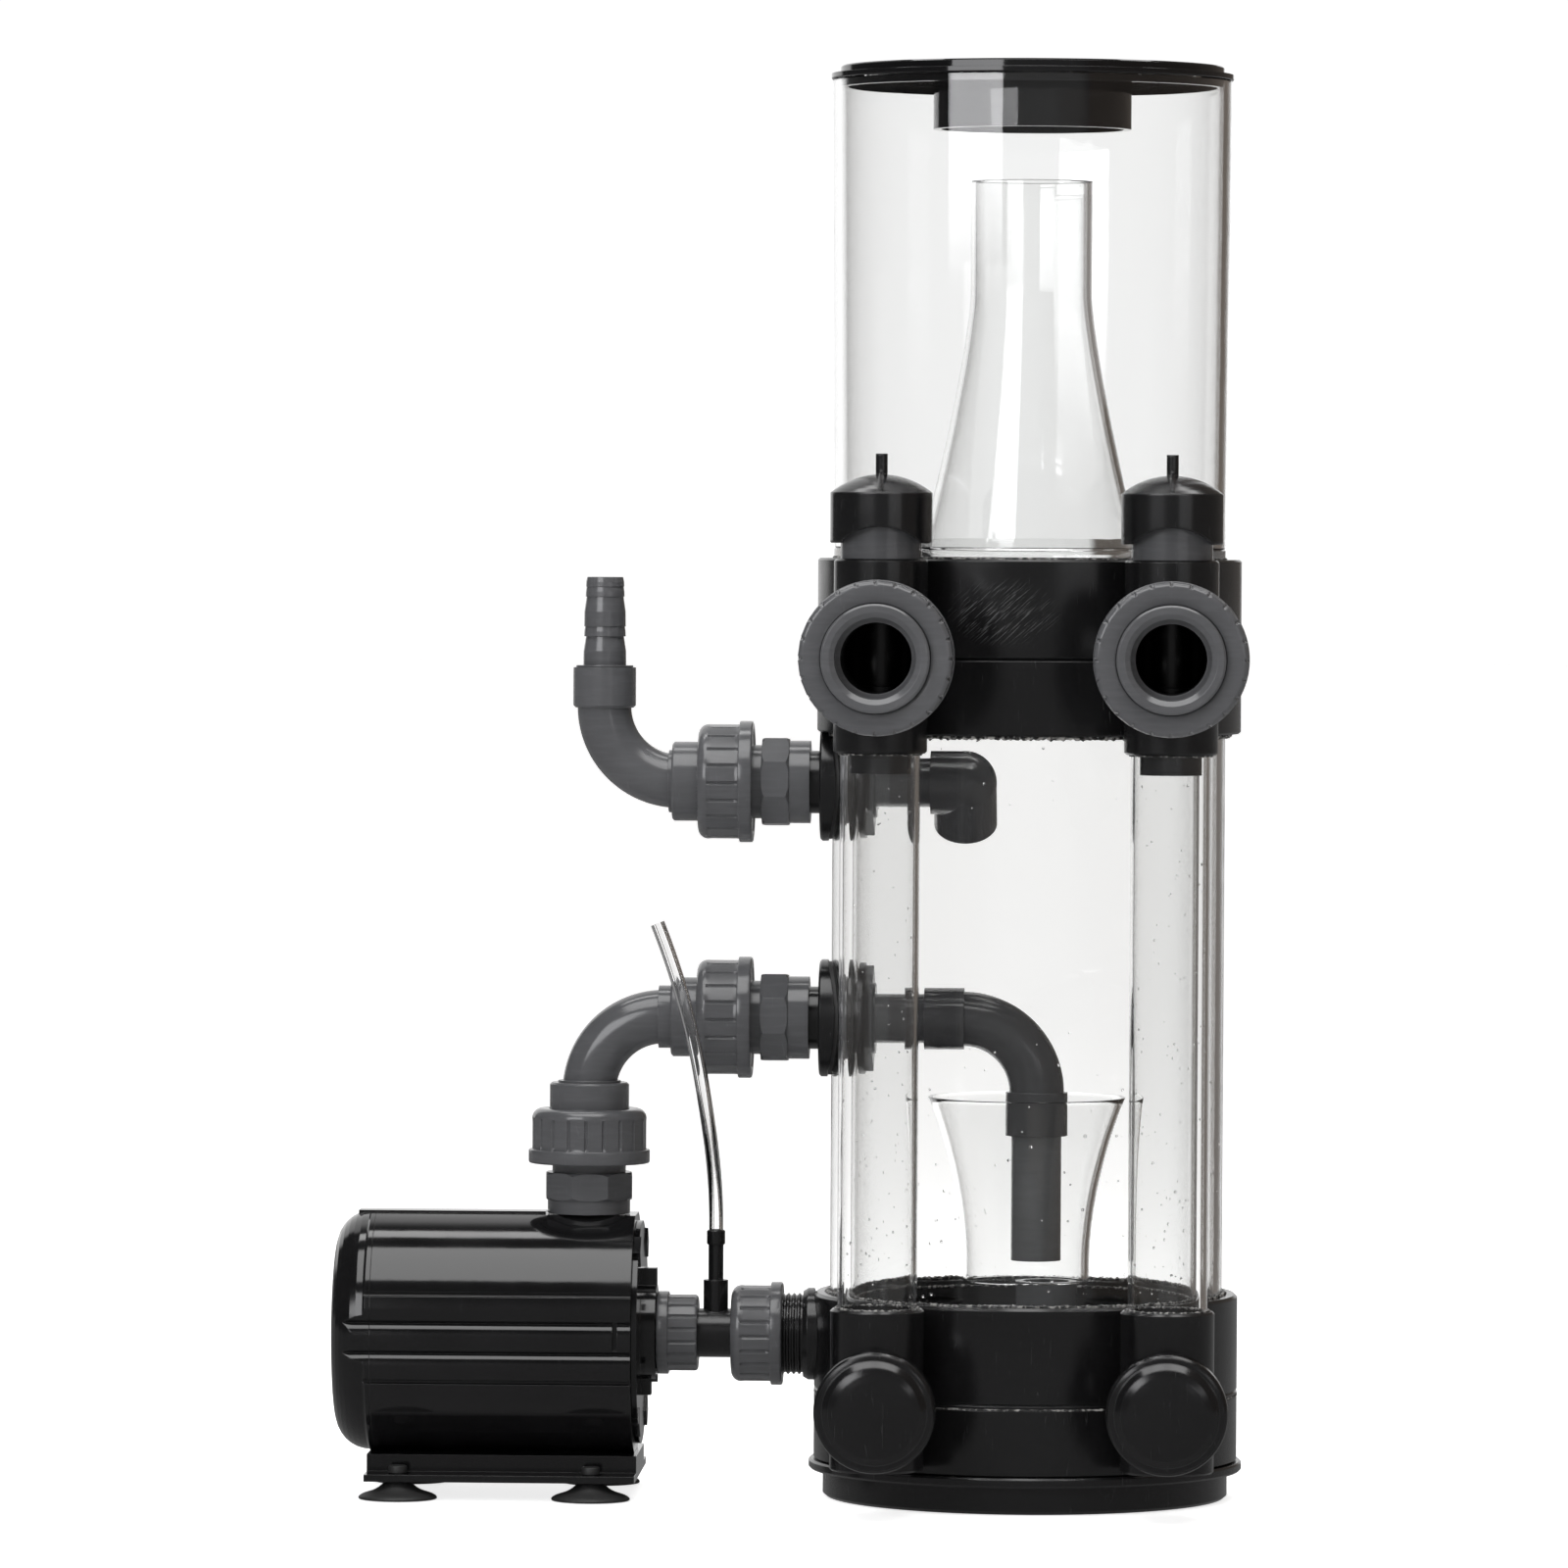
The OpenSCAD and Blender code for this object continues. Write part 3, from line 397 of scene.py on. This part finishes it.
def funnel_radius(z):
    """The bubble funnel: straight up to foot_z, then flaring to its rim."""
    foot_r, foot_z, widening = 32.4, 118 * MM, 18.1
    flare = max(0.0, (z - foot_z) / (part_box("bubble_funnel")[1].z - foot_z))
    return (foot_r + widening * flare ** 1.9) * MM


def trumpet(name, node, body, radius, wall, low=None):
    """A flared clear tube that follows radius(z) between the CAD node's ends."""
    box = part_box(node)
    low = box[0].z if low is None else low
    steps = 48
    heights = [low + (box[1].z - low) * i / steps for i in range(steps + 1)]
    outer = [(radius(z), z) for z in heights]
    inner = [(r - wall, z) for r, z in outer]
    piece = add_revolved(name, wall_profile(outer, inner), MATERIALS["clear_acrylic"], body, "clear_acrylic")
    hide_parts(node)


def straight_tube(name, body, r_out, r_in, low, high, place=Matrix.Identity(4), r_top=None):
    """A clear tube between two heights; r_top is its outer radius at the top where it tapers."""
    r_top = r_top or r_out
    outer = [(r_out, low), (r_top, high)]
    inner = [(r_in, low), (r_top - r_out + r_in, high)]
    return add_revolved(name, wall_profile(outer, inner), MATERIALS["clear_acrylic"], body, "clear_acrylic",
                        place)


def rising_radius():
    low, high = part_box("rising_tubes")
    return (high.y - low.y) / 2


def build_clear_parts():
    piece = straight_tube("clear_reaction_tube", "skimmer", TUBE_R, BORE_R, TUBE[0].z, TUBE[1].z)
    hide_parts("reaction_tube")
    low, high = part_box("rising_tubes")
    r = rising_radius()
    for side, sign in SIDES.items():
        place = Matrix.Translation((sign * TOWER.x, TOWER.y, 0))
        piece = straight_tube("clear_rising_tube_" + side, "skimmer", r, r - RISING_WALL, low.z, high.z, place)
        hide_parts("rising_tubes")
    rows = levels("cup_tube")
    piece = straight_tube("clear_cup_tube", "foam_cup", rows[0][2], rows[0][1], rows[0][0], rows[-1][0],
                          r_top=rows[-1][2])
    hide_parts("cup_tube")
    low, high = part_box("cup_floor")
    hole = levels("cup_floor")[0][1]
    step, rim, edge = 5.4 * MM, high.x - 4.4 * MM, MM
    profile = [(hole, low.z), (high.x - edge, low.z), (high.x, low.z + edge), (high.x, low.z + step - edge),
               (high.x - edge, low.z + step), (rim, low.z + step), (rim, high.z), (hole, high.z)]
    piece = add_revolved("clear_cup_floor", profile, MATERIALS["clear_acrylic"], "foam_cup", "clear_acrylic")
    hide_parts("cup_floor")
    trumpet("clear_foam_riser", "foam_riser", "foam_cup", riser_radius, 2.6 * MM)
    trumpet("clear_bubble_funnel", "bubble_funnel", "skimmer", funnel_radius, 2.4 * MM,
            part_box("suction_elbow")[1].z)


# ---------------------------------------------------------------- union nuts

def nut_shape(r, flange_r, end_r, bore_r, length, flange_len, ribs, shoulder, rib_end):
    """A ribbed union nut along +Z: flange ring at z = 0, flat facets between narrow grooves that end at
    rib_end, and a rounded shoulder at its far edge."""
    cavity = length - 4.8 * MM
    groove_half, groove_depth, run_out = 1.0 * MM, 1.2 * MM, 0.8 * MM
    body_end = length - shoulder
    stations = [(r, flange_len + (body_end - flange_len) * i / 16) for i in range(16)]
    profile = fillet(flange_r - MM, MM, MM, -90, 0, 3)
    profile += fillet(flange_r - 0.5 * MM, flange_len - 0.5 * MM, 0.5 * MM, 0, 90, 3)
    profile += stations + fillet(r - shoulder, body_end, shoulder, 0, 90, 8)
    profile += fillet(end_r + 0.5 * MM, length - 0.5 * MM, 0.5 * MM, 90, 180, 2)
    profile += [(end_r, cavity), (bore_r, cavity), (bore_r, MM), (bore_r + MM, 0)]

    def radius_at(radius, z, angle):
        if radius < r - shoulder * 0.75 or not flange_len + 0.3 * MM < z < rib_end:
            return radius
        phase = (angle * ribs / (2 * math.pi)) % 1.0
        flat = math.cos(math.pi / ribs) / math.cos((phase - 0.5) * 2 * math.pi / ribs)
        across = min(phase, 1 - phase) * 2 * math.pi * r / ribs
        depth = max(0.0, 1 - (across / groove_half) ** 2) * groove_depth
        rise = max(0.0, (z - flange_len - 0.4 * MM) / run_out)
        fade = min(1.0, rise, max(0.0, (rib_end - z) / run_out))
        return radius * (1 - (1 - flat) * 0.9 * fade) - depth * math.sqrt(fade)

    return revolve(profile, ribs * 18, radius_at)


def build_nuts():
    side = dict(r=29.25 * MM, flange_r=31 * MM, end_r=20.55 * MM, bore_r=25.3 * MM, length=28 * MM,
                flange_len=7 * MM, ribs=20, shoulder=5 * MM, rib_end=22.5 * MM)
    front = dict(r=38.2 * MM, flange_r=38.5 * MM, end_r=27.2 * MM, bore_r=31.3 * MM, length=33 * MM,
                 flange_len=12 * MM, ribs=24, shoulder=3 * MM, rib_end=33 * MM)
    small = dict(r=19.6 * MM, flange_r=21.2 * MM, end_r=13 * MM, bore_r=17.8 * MM, length=21 * MM,
                 flange_len=6 * MM, ribs=18, shoulder=1.8 * MM, rib_end=20.5 * MM)
    large = dict(r=24.6 * MM, flange_r=26.35 * MM, end_r=13 * MM, bore_r=21.05 * MM, length=26.3 * MM,
                 flange_len=6 * MM, ribs=20, shoulder=5 * MM, rib_end=21 * MM)
    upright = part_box("pump_nut")
    plan = [
        ("inlet_nut", "nut_inlet", side, to_left(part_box("inlet_nut")[1].x, centre("inlet_nut").z)),
        ("return_nut", "nut_return", side, to_left(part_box("return_nut")[1].x, centre("return_nut").z)),
        ("pump_nut", "nut_pump", side, Matrix.Translation((centre("pump_nut").x, 0, upright[0].z))),
        ("intake_nut_pump", "nut_intake_pump", small,
         to_right(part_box("intake_nut_pump")[0].x, centre("intake_nut_pump").z)),
        ("intake_nut_base", "nut_intake_base", large,
         to_left(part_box("intake_nut_base")[1].x, centre("intake_nut_base").z)),
    ]
    for name in SIDES:
        node = "outlet_nut_" + name
        at = centre(node)
        plan.append((node, "nut_outlet_" + name, front, to_front(at.x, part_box(node)[1].y, at.z)))
    for node, body, sizes, place in plan:
        piece = add_object("ribbed_" + node, *placed(nut_shape(**sizes), place), MATERIALS["grey_pvc"], body,
                           "grey_pvc")
        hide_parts(node)


# ---------------------------------------------------------------- cement, droplets and sawn edges

def bead(name, r, size, middle, body):
    """A lumpy bead of hardened cement around a joint: a ring of radius r about middle, its section uneven."""
    sides, steps = 10, int(max(60, r / MM * 5))
    vertices, faces = [], []
    for i in range(steps):
        angle = math.radians(360 * i / steps)
        out = Vector((math.cos(angle), math.sin(angle), 0))
        for j in range(sides):
            turn = 2 * math.pi * j / sides
            spot = out * r + Vector((0, 0, size * math.sin(turn)))
            lump = 0.75 + 0.55 * noise.noise(spot * 420) + 0.25 * math.sin(i * 2.4)
            width = size * max(0.35, lump)
            vertices.append(out * (r + width * math.cos(turn)) + Vector((0, 0, width * math.sin(turn))))
    for i in range(steps):
        ahead = (i + 1) % steps * sides
        for j in range(sides):
            k = (j + 1) % sides
            faces.append((i * sides + j, ahead + j, ahead + k, i * sides + k))
    shape = placed((vertices, faces), Matrix.Translation(middle))
    add_object(name, *shape, GLUE, body, "black_pvc", 60)


def build_cement():
    seam_z = 53 * MM
    cup_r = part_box("cup_tube")[1].x * 0.985
    rings = (
        ("froth_collar", TUBE_R + 1.6 * MM, 1.6 * MM, COLLAR[0].z - 0.7 * MM, "skimmer"),
        ("froth_ring", TUBE_R + 1.2 * MM, 1.2 * MM, RING_TOP + 0.1 * MM, "skimmer"),
        ("froth_ring_inside", BORE_R - 0.4 * MM, 0.8 * MM, RING_TOP - 4 * MM, "skimmer"),
        ("froth_sleeve", cup_r, 0.6 * MM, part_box("cup_sleeve")[1].z + 0.3 * MM, "foam_cup"),
        ("froth_seam", BASE_RING[1].x - 0.5 * MM, 0.7 * MM, seam_z, "skimmer"),
    )
    for name, r, size, z, body in rings:
        bead(name, r, size, (0, 0, z), body)
    r = rising_radius()
    foot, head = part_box("lower_tees")[1].z + 0.1 * MM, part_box("upper_tees")[0].z - 0.3 * MM
    for side, sign in SIDES.items():
        x, y = sign * TOWER.x, TOWER.y
        bead("froth_foot_" + side, r + 0.5 * MM, 0.9 * MM, (x, y, foot), "skimmer")
        bead("froth_head_" + side, r + 0.4 * MM, 0.6 * MM, (x, y, head), "skimmer")


def drops(name, count, seed, spot, body):
    """Clinging droplets: flattened half balls; spot(random) gives the place, direction and radius of each."""
    rng = random.Random(seed)
    root = -0.05 * MM                       # how far a droplet reaches into the wall it hangs on
    around = 12
    shapes = []
    for _ in range(count):
        place, out, r = spot(rng)
        height = r * rng.uniform(0.45, 0.75)
        profile = [(r * 0.8, root)]
        for a in (0, 25, 50, 72):
            profile.append((r * math.cos(math.radians(a)), height * math.sin(math.radians(a))))
        vertices, faces = revolve(profile, around, closed=False)
        top = len(vertices)
        vertices += [Vector((0, 0, height)), Vector((0, 0, root))]
        for i in range(around):
            a, b = i * len(profile), (i + 1) % around * len(profile)
            faces += [(a + len(profile) - 1, b + len(profile) - 1, top), (b, a, top + 1)]
        turn = out.to_track_quat("Z", "Y").to_matrix().to_4x4()
        shapes.append(placed((vertices, faces), Matrix.Translation(place) @ turn))
    add_object(name, *merge(shapes), WATER, body, "clear_acrylic", 60)


def outward(rng):
    angle = math.radians(rng.uniform(0, 360))
    return Vector((math.cos(angle), math.sin(angle), 0))


def build_drops():
    bore = rising_radius() - RISING_WALL
    above_ring, under_tees = RING_TOP + 5 * MM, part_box("upper_tees")[0].z - 5 * MM

    def in_tube(rng):
        out = outward(rng)
        z = RING_TOP + rng.uniform(0, 1) ** 2.2 * 150 * MM - 8 * MM
        return out * BORE_R + Vector((0, 0, z)), -out, rng.uniform(0.35, 0.9) * MM

    def on_collar(rng):
        out = outward(rng)
        z = COLLAR[0].z - rng.uniform(0, 1) ** 2 * 40 * MM
        return out * BORE_R + Vector((0, 0, z)), -out, rng.uniform(0.3, 0.7) * MM

    drops("droplets_tube", 240, 4, in_tube, "skimmer")
    drops("droplets_under_collar", 60, 9, on_collar, "skimmer")
    for side, sign in SIDES.items():
        def in_riser(rng):
            out = outward(rng)
            place = Vector((sign * TOWER.x, TOWER.y, rng.uniform(above_ring, under_tees))) + out * bore
            return place, -out, rng.uniform(0.3, 0.75) * MM
        drops("droplets_rising_" + side, 90, 20 + sign, in_riser, "skimmer")


def build_sawn_rim():
    """The sawn top of the foam riser, a thin matt ring that draws its rim."""
    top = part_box("foam_riser")[1].z
    neck = riser_radius(top)
    inside, outside, low, high = neck - 2.5 * MM, neck - 0.1 * MM, top - 0.05 * MM, top + 0.25 * MM
    profile = [(inside, low), (outside, low), (outside, high), (inside, high)]
    add_revolved("sawn_riser_rim", profile, MATERIALS["sawn_edge"], "foam_cup", "clear_acrylic")


# ---------------------------------------------------------------- hose and suction feet

def sweep(points, section, segments):
    """A tube wall along a curve: around each of its points one ring per radius in section, outer ring first."""
    vertices, faces = [], []
    count = len(section)
    for i, p in enumerate(points):
        ahead = points[min(i + 1, len(points) - 1)] - points[max(i - 1, 0)]
        ahead.normalize()
        side = ahead.cross(Vector((0, 1, 0))).normalized()
        up = side.cross(ahead)
        for r in section:
            for s in range(segments):
                angle = 2 * math.pi * s / segments
                vertices.append(p + side * (r * math.cos(angle)) + up * (r * math.sin(angle)))
    step = count * segments
    for i in range(len(points) - 1):
        for k in range(count):
            for s in range(segments):
                a = i * step + k * segments + s
                b = i * step + k * segments + (s + 1) % segments
                face = (a, b, b + step, a + step)
                faces.append(face if k == 0 else face[::-1])
    for end in (0, len(points) - 1):
        for s in range(segments):
            a = end * step + s
            b = end * step + (s + 1) % segments
            face = (a, a + segments, b + segments, b)
            faces.append(face if end == 0 else face[::-1])
    return vertices, faces


def build_hose():
    low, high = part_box("air_hose")
    r = 3.65 * MM
    start = Vector((high.x - r, high.y - r, low.z))
    straight = 5.8 * MM
    reach = Vector((low.x + 1.02 * r, low.y + r, high.z - 0.5 * MM))
    points = [start, start + Vector((0, 0, straight * 0.5))]
    for i in range(61):
        t = i / 60
        ease = (1 - math.cos(math.pi * min(1.0, t / 0.5))) / 2
        points.append(Vector((start.x + (reach.x - start.x) * t ** 2.2, start.y + (reach.y - start.y) * ease,
                              start.z + straight + (reach.z - start.z - straight) * t)))
    shape = sweep(points, (r, r - 1.35 * MM), 32)
    piece = add_object("clear_air_hose", *shape, MATERIALS["clear_hose"], "skimmer", "clear_hose")
    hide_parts("air_hose")


def build_feet():
    """Four suction feet: a hollow cup, a waist and, above the foot plate, the head of their stud."""
    low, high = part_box("suction_feet")
    r = 20 * MM
    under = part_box("foot_plate")[0].z
    outside = [(20, 0.9), (19.4, 1.6), (17.8, 2.5), (15.6, 3.25), (13.2, 4.0), (11.2, 4.9), (9.5, 6.0),
               (8.0, 7.2), (7.0, 8.4), (6.5, 9.6), (6.6, under / MM - 0.3), (6.2, under / MM - 0.05)]
    inside = [(0, 3.4), (6, 3.0), (12, 1.6), (17.4, 0.1), (18.6, 0.0), (19.7, 0.0), (20, 0.3)]
    top = high.z / MM
    stud = [(3, under / MM - 0.05), (3, under / MM + 3.9), (4.7, under / MM + 3.9), (4.7, top - 0.9),
            (4.3, top - 0.3), (3.4, top), (0, top)]
    profile = [(x * MM, z * MM) for x, z in inside + outside + stud]
    shapes = []
    for x in (low.x + r, high.x - r):
        for y in (low.y + r, high.y - r):
            shapes.append(placed(revolve(profile, 64, closed=False), Matrix.Translation((x, y, 0))))
    piece = add_object("rubber_suction_feet", *merge(shapes), MATERIALS["rubber"], "skimmer", "rubber", 50)
    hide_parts("suction_feet")


# ---------------------------------------------------------------- floor, light and camera

WHITE = (1.04, 1.04, 1.04)
DARK = (0.05, 0.05, 0.05)
WARM = (0.14, 0.12, 0.105)
FILL = 0.24                                 # radiance of the room behind the camera, and of the mirrored floor


def studio(g, heading):
    """What a ray with this heading meets: the colour of the room there, and how much of it the backdrop covers.
    The room turns with the camera: turn is the ray's compass angle from the line of sight, + to the right."""
    split = g.add("SeparateXYZ")
    g.put(split, "Vector", heading)
    x, y, z = (split.outputs[axis] for axis in "XYZ")
    to_world = {"vector_type": "VECTOR", "convert_from": "CAMERA", "convert_to": "WORLD"}
    view = g.add("VectorTransform", to_world, Vector=(0, 0, 1))
    sight = g.add("SeparateXYZ")
    g.put(sight, "Vector", view.outputs["Vector"])
    sight_x, sight_y = sight.outputs["X"], sight.outputs["Y"]
    across = g.math("SUBTRACT", g.math("MULTIPLY", x, sight_y), g.math("MULTIPLY", y, sight_x))
    along = g.math("ADD", g.math("MULTIPLY", x, sight_x), g.math("MULTIPLY", y, sight_y))
    turn = g.math("ARCTAN2", across, along)
    left = g.remap(turn, math.radians(-39.7), math.radians(-33.7), 0.0, 1.0, True)
    right = g.remap(turn, math.radians(12.8), math.radians(16.3), 1.0, 0.0, True)
    top = g.remap(z, 0.75, 0.9, 1.0, 0.0, True)
    backdrop = g.math("MULTIPLY", g.math("MULTIPLY", left, right), top)
    fill = g.remap(along, -0.92, -0.78, FILL, 0.0, True)
    room = g.mix(1.0, g.mix(right, rgba(WARM), rgba(DARK)), fill, "LIGHTEN")
    return room, backdrop


def build_floor():
    """A pale floor. Where a clear wall turns a ray away from the backdrop the floor is as dark as the room
    there, and a glossy surface mirrors it as part of the soft fill."""
    mesh = bpy.data.meshes.new("floor")
    half = 30.0
    corners = [(-half, -half, 0), (half, -half, 0), (half, half, 0), (-half, half, 0)]
    mesh.from_pydata(corners, [], [(0, 1, 2, 3)])
    mat, g = material("pale_floor")
    shader = g.add("BsdfPrincipled")
    speck = g.noise(g.coords(), 8, 3)
    pale, paler = rgba((0.80, 0.80, 0.80)), rgba((0.83, 0.83, 0.83))
    g.put(shader, "Base Color", g.mix(g.remap(speck, 0.3, 0.7, 0, 1), pale, paler))
    g.put(shader, "Roughness", 0.7)
    path = g.add("LightPath")
    through = path.outputs["Is Transmission Ray"]
    seen = g.math("MAXIMUM", path.outputs["Is Camera Ray"], through)
    g.put(shader, "Emission Color", rgba((1, 1, 1)))
    g.put(shader, "Emission Strength", g.remap(seen, 0, 1, 0.12, 0.80))
    away = g.add("VectorMath", {"operation": "SCALE"}, Scale=-1.0)
    g.put(away, "0", g.add("NewGeometry").outputs["Incoming"])
    room, backdrop = studio(g, away.outputs["Vector"])
    plain = g.add("Emission")
    g.put(plain, "Color", g.mix(through, rgba((FILL, FILL, FILL)), room))
    mirrored = g.math("SUBTRACT", path.outputs["Is Glossy Ray"], through)
    astray = g.math("MULTIPLY", through, g.math("SUBTRACT", 1.0, backdrop))
    both = g.add("MixShader")
    g.put(both, "0", g.math("MAXIMUM", mirrored, astray))
    g.tree.links.new(shader.outputs[0], both.inputs[1])
    g.tree.links.new(plain.outputs[0], both.inputs[2])
    g.output(both.outputs[0])
    mesh.materials.append(mat)
    floor = bpy.data.objects.new("floor", mesh)
    bpy.context.scene.collection.objects.link(floor)
    floor.location.z = -0.5 * MM


def build_world():
    """A white backdrop behind the object, a dark studio to its left, a warm grey one to its right, and a soft
    fill from behind the camera."""
    world = bpy.data.worlds.new("studio")
    world.use_nodes = True
    bpy.context.scene.world = world
    g = Graph(world.node_tree)
    room, backdrop = studio(g, g.add("TexCoord").outputs["Generated"])
    colour = g.mix(backdrop, room, rgba(WHITE))
    colour = g.mix(g.add("LightPath").outputs["Is Camera Ray"], colour, rgba(WHITE))
    shade = g.add("Background", Strength=1.0)
    g.put(shade, "Color", colour)
    out = g.add("OutputWorld")
    g.tree.links.new(shade.outputs[0], out.inputs["Surface"])


def softbox(name, place, target, width, height, radiance, fade=0.0, tint=(1, 1, 1)):
    """A soft area light; fade is the part of its height over which it comes up from dark at its lower edge."""
    light = bpy.data.lights.new(name, "AREA")
    light.shape = "RECTANGLE"
    light.size, light.size_y = width, height
    light.energy = radiance * math.pi * width * height
    light.color = tint
    if fade:
        light.use_nodes = True
        g = Graph(light.node_tree)
        split = g.add("SeparateXYZ")
        g.put(split, "Vector", g.add("NewGeometry").outputs["Parametric"])
        glow = g.add("Emission")
        g.put(glow, "Strength", g.remap(split.outputs["Y"], 0.0, fade, 0.0, 1.0, True))
        out = g.add("OutputLight")
        g.tree.links.new(glow.outputs[0], out.inputs["Surface"])
    lamp = bpy.data.objects.new(name, light)
    lamp.location = place
    lamp.rotation_euler = (Vector(target) - Vector(place)).to_track_quat("-Z", "Y").to_euler()
    bpy.context.scene.collection.objects.link(lamp)


def build_lights():
    reach = 2.4
    ceiling = 2.2
    # name, compass angle from the front, width, lower edge, upper edge, radiance, fade
    sides = (("softbox_left", -31.9, 1.36, 0.62, 1.90, 5.0, 0.11),
             ("softbox_right", 30, 1.18, 0.45, 0.74, 1.4, 0.4))
    for name, degrees, width, low, high, radiance, fade in sides:
        angle = math.radians(degrees)
        middle = (low + high) / 2
        spot = (reach * math.sin(angle), -reach * math.cos(angle), middle)
        softbox(name, spot, (0, 0, middle), width, high - low, radiance, fade, (0.98, 0.98, 1.0))
    # name, middle, depth, radiance of the two that look straight down
    for name, y, depth, radiance in (("softbox_top", -0.89, 1.6, 4.2), ("softbox_behind", 0.61, 0.38, 5.0)):
        softbox(name, (-0.1, y, ceiling), (-0.1, y + MM, 0), 2.4, depth, radiance)


def build_camera():
    data = bpy.data.cameras.new("camera")
    data.sensor_width = 36.0
    data.lens = 225.0
    data.clip_end = 200.0
    camera = bpy.data.objects.new("camera", data)
    camera.location = (0.075, -5.0, 0.497)
    pitch, yaw, roll = math.radians(90 - 1.5355), math.radians(2.29), math.radians(0.3)
    turn = Matrix.Rotation(yaw, 4, "Z") @ Matrix.Rotation(pitch, 4, "X") @ Matrix.Rotation(roll, 4, "Z")
    camera.rotation_euler = turn.to_euler()
    bpy.context.scene.collection.objects.link(camera)
    bpy.context.scene.camera = camera


def set_view():
    scene = bpy.context.scene
    scene.view_settings.view_transform = "Standard"
    scene.cycles.max_bounces = 24
    scene.cycles.transmission_bounces = 24
    scene.cycles.transparent_max_bounces = 24
    scene.cycles.glossy_bounces = 6
    scene.cycles.diffuse_bounces = 4


# ---------------------------------------------------------------- the scene

paint_nodes()
build_clear_parts()
build_nuts()
build_cement()
build_drops()
build_sawn_rim()
build_hose()
build_feet()
build_floor()
build_world()
build_lights()
build_camera()
set_view()
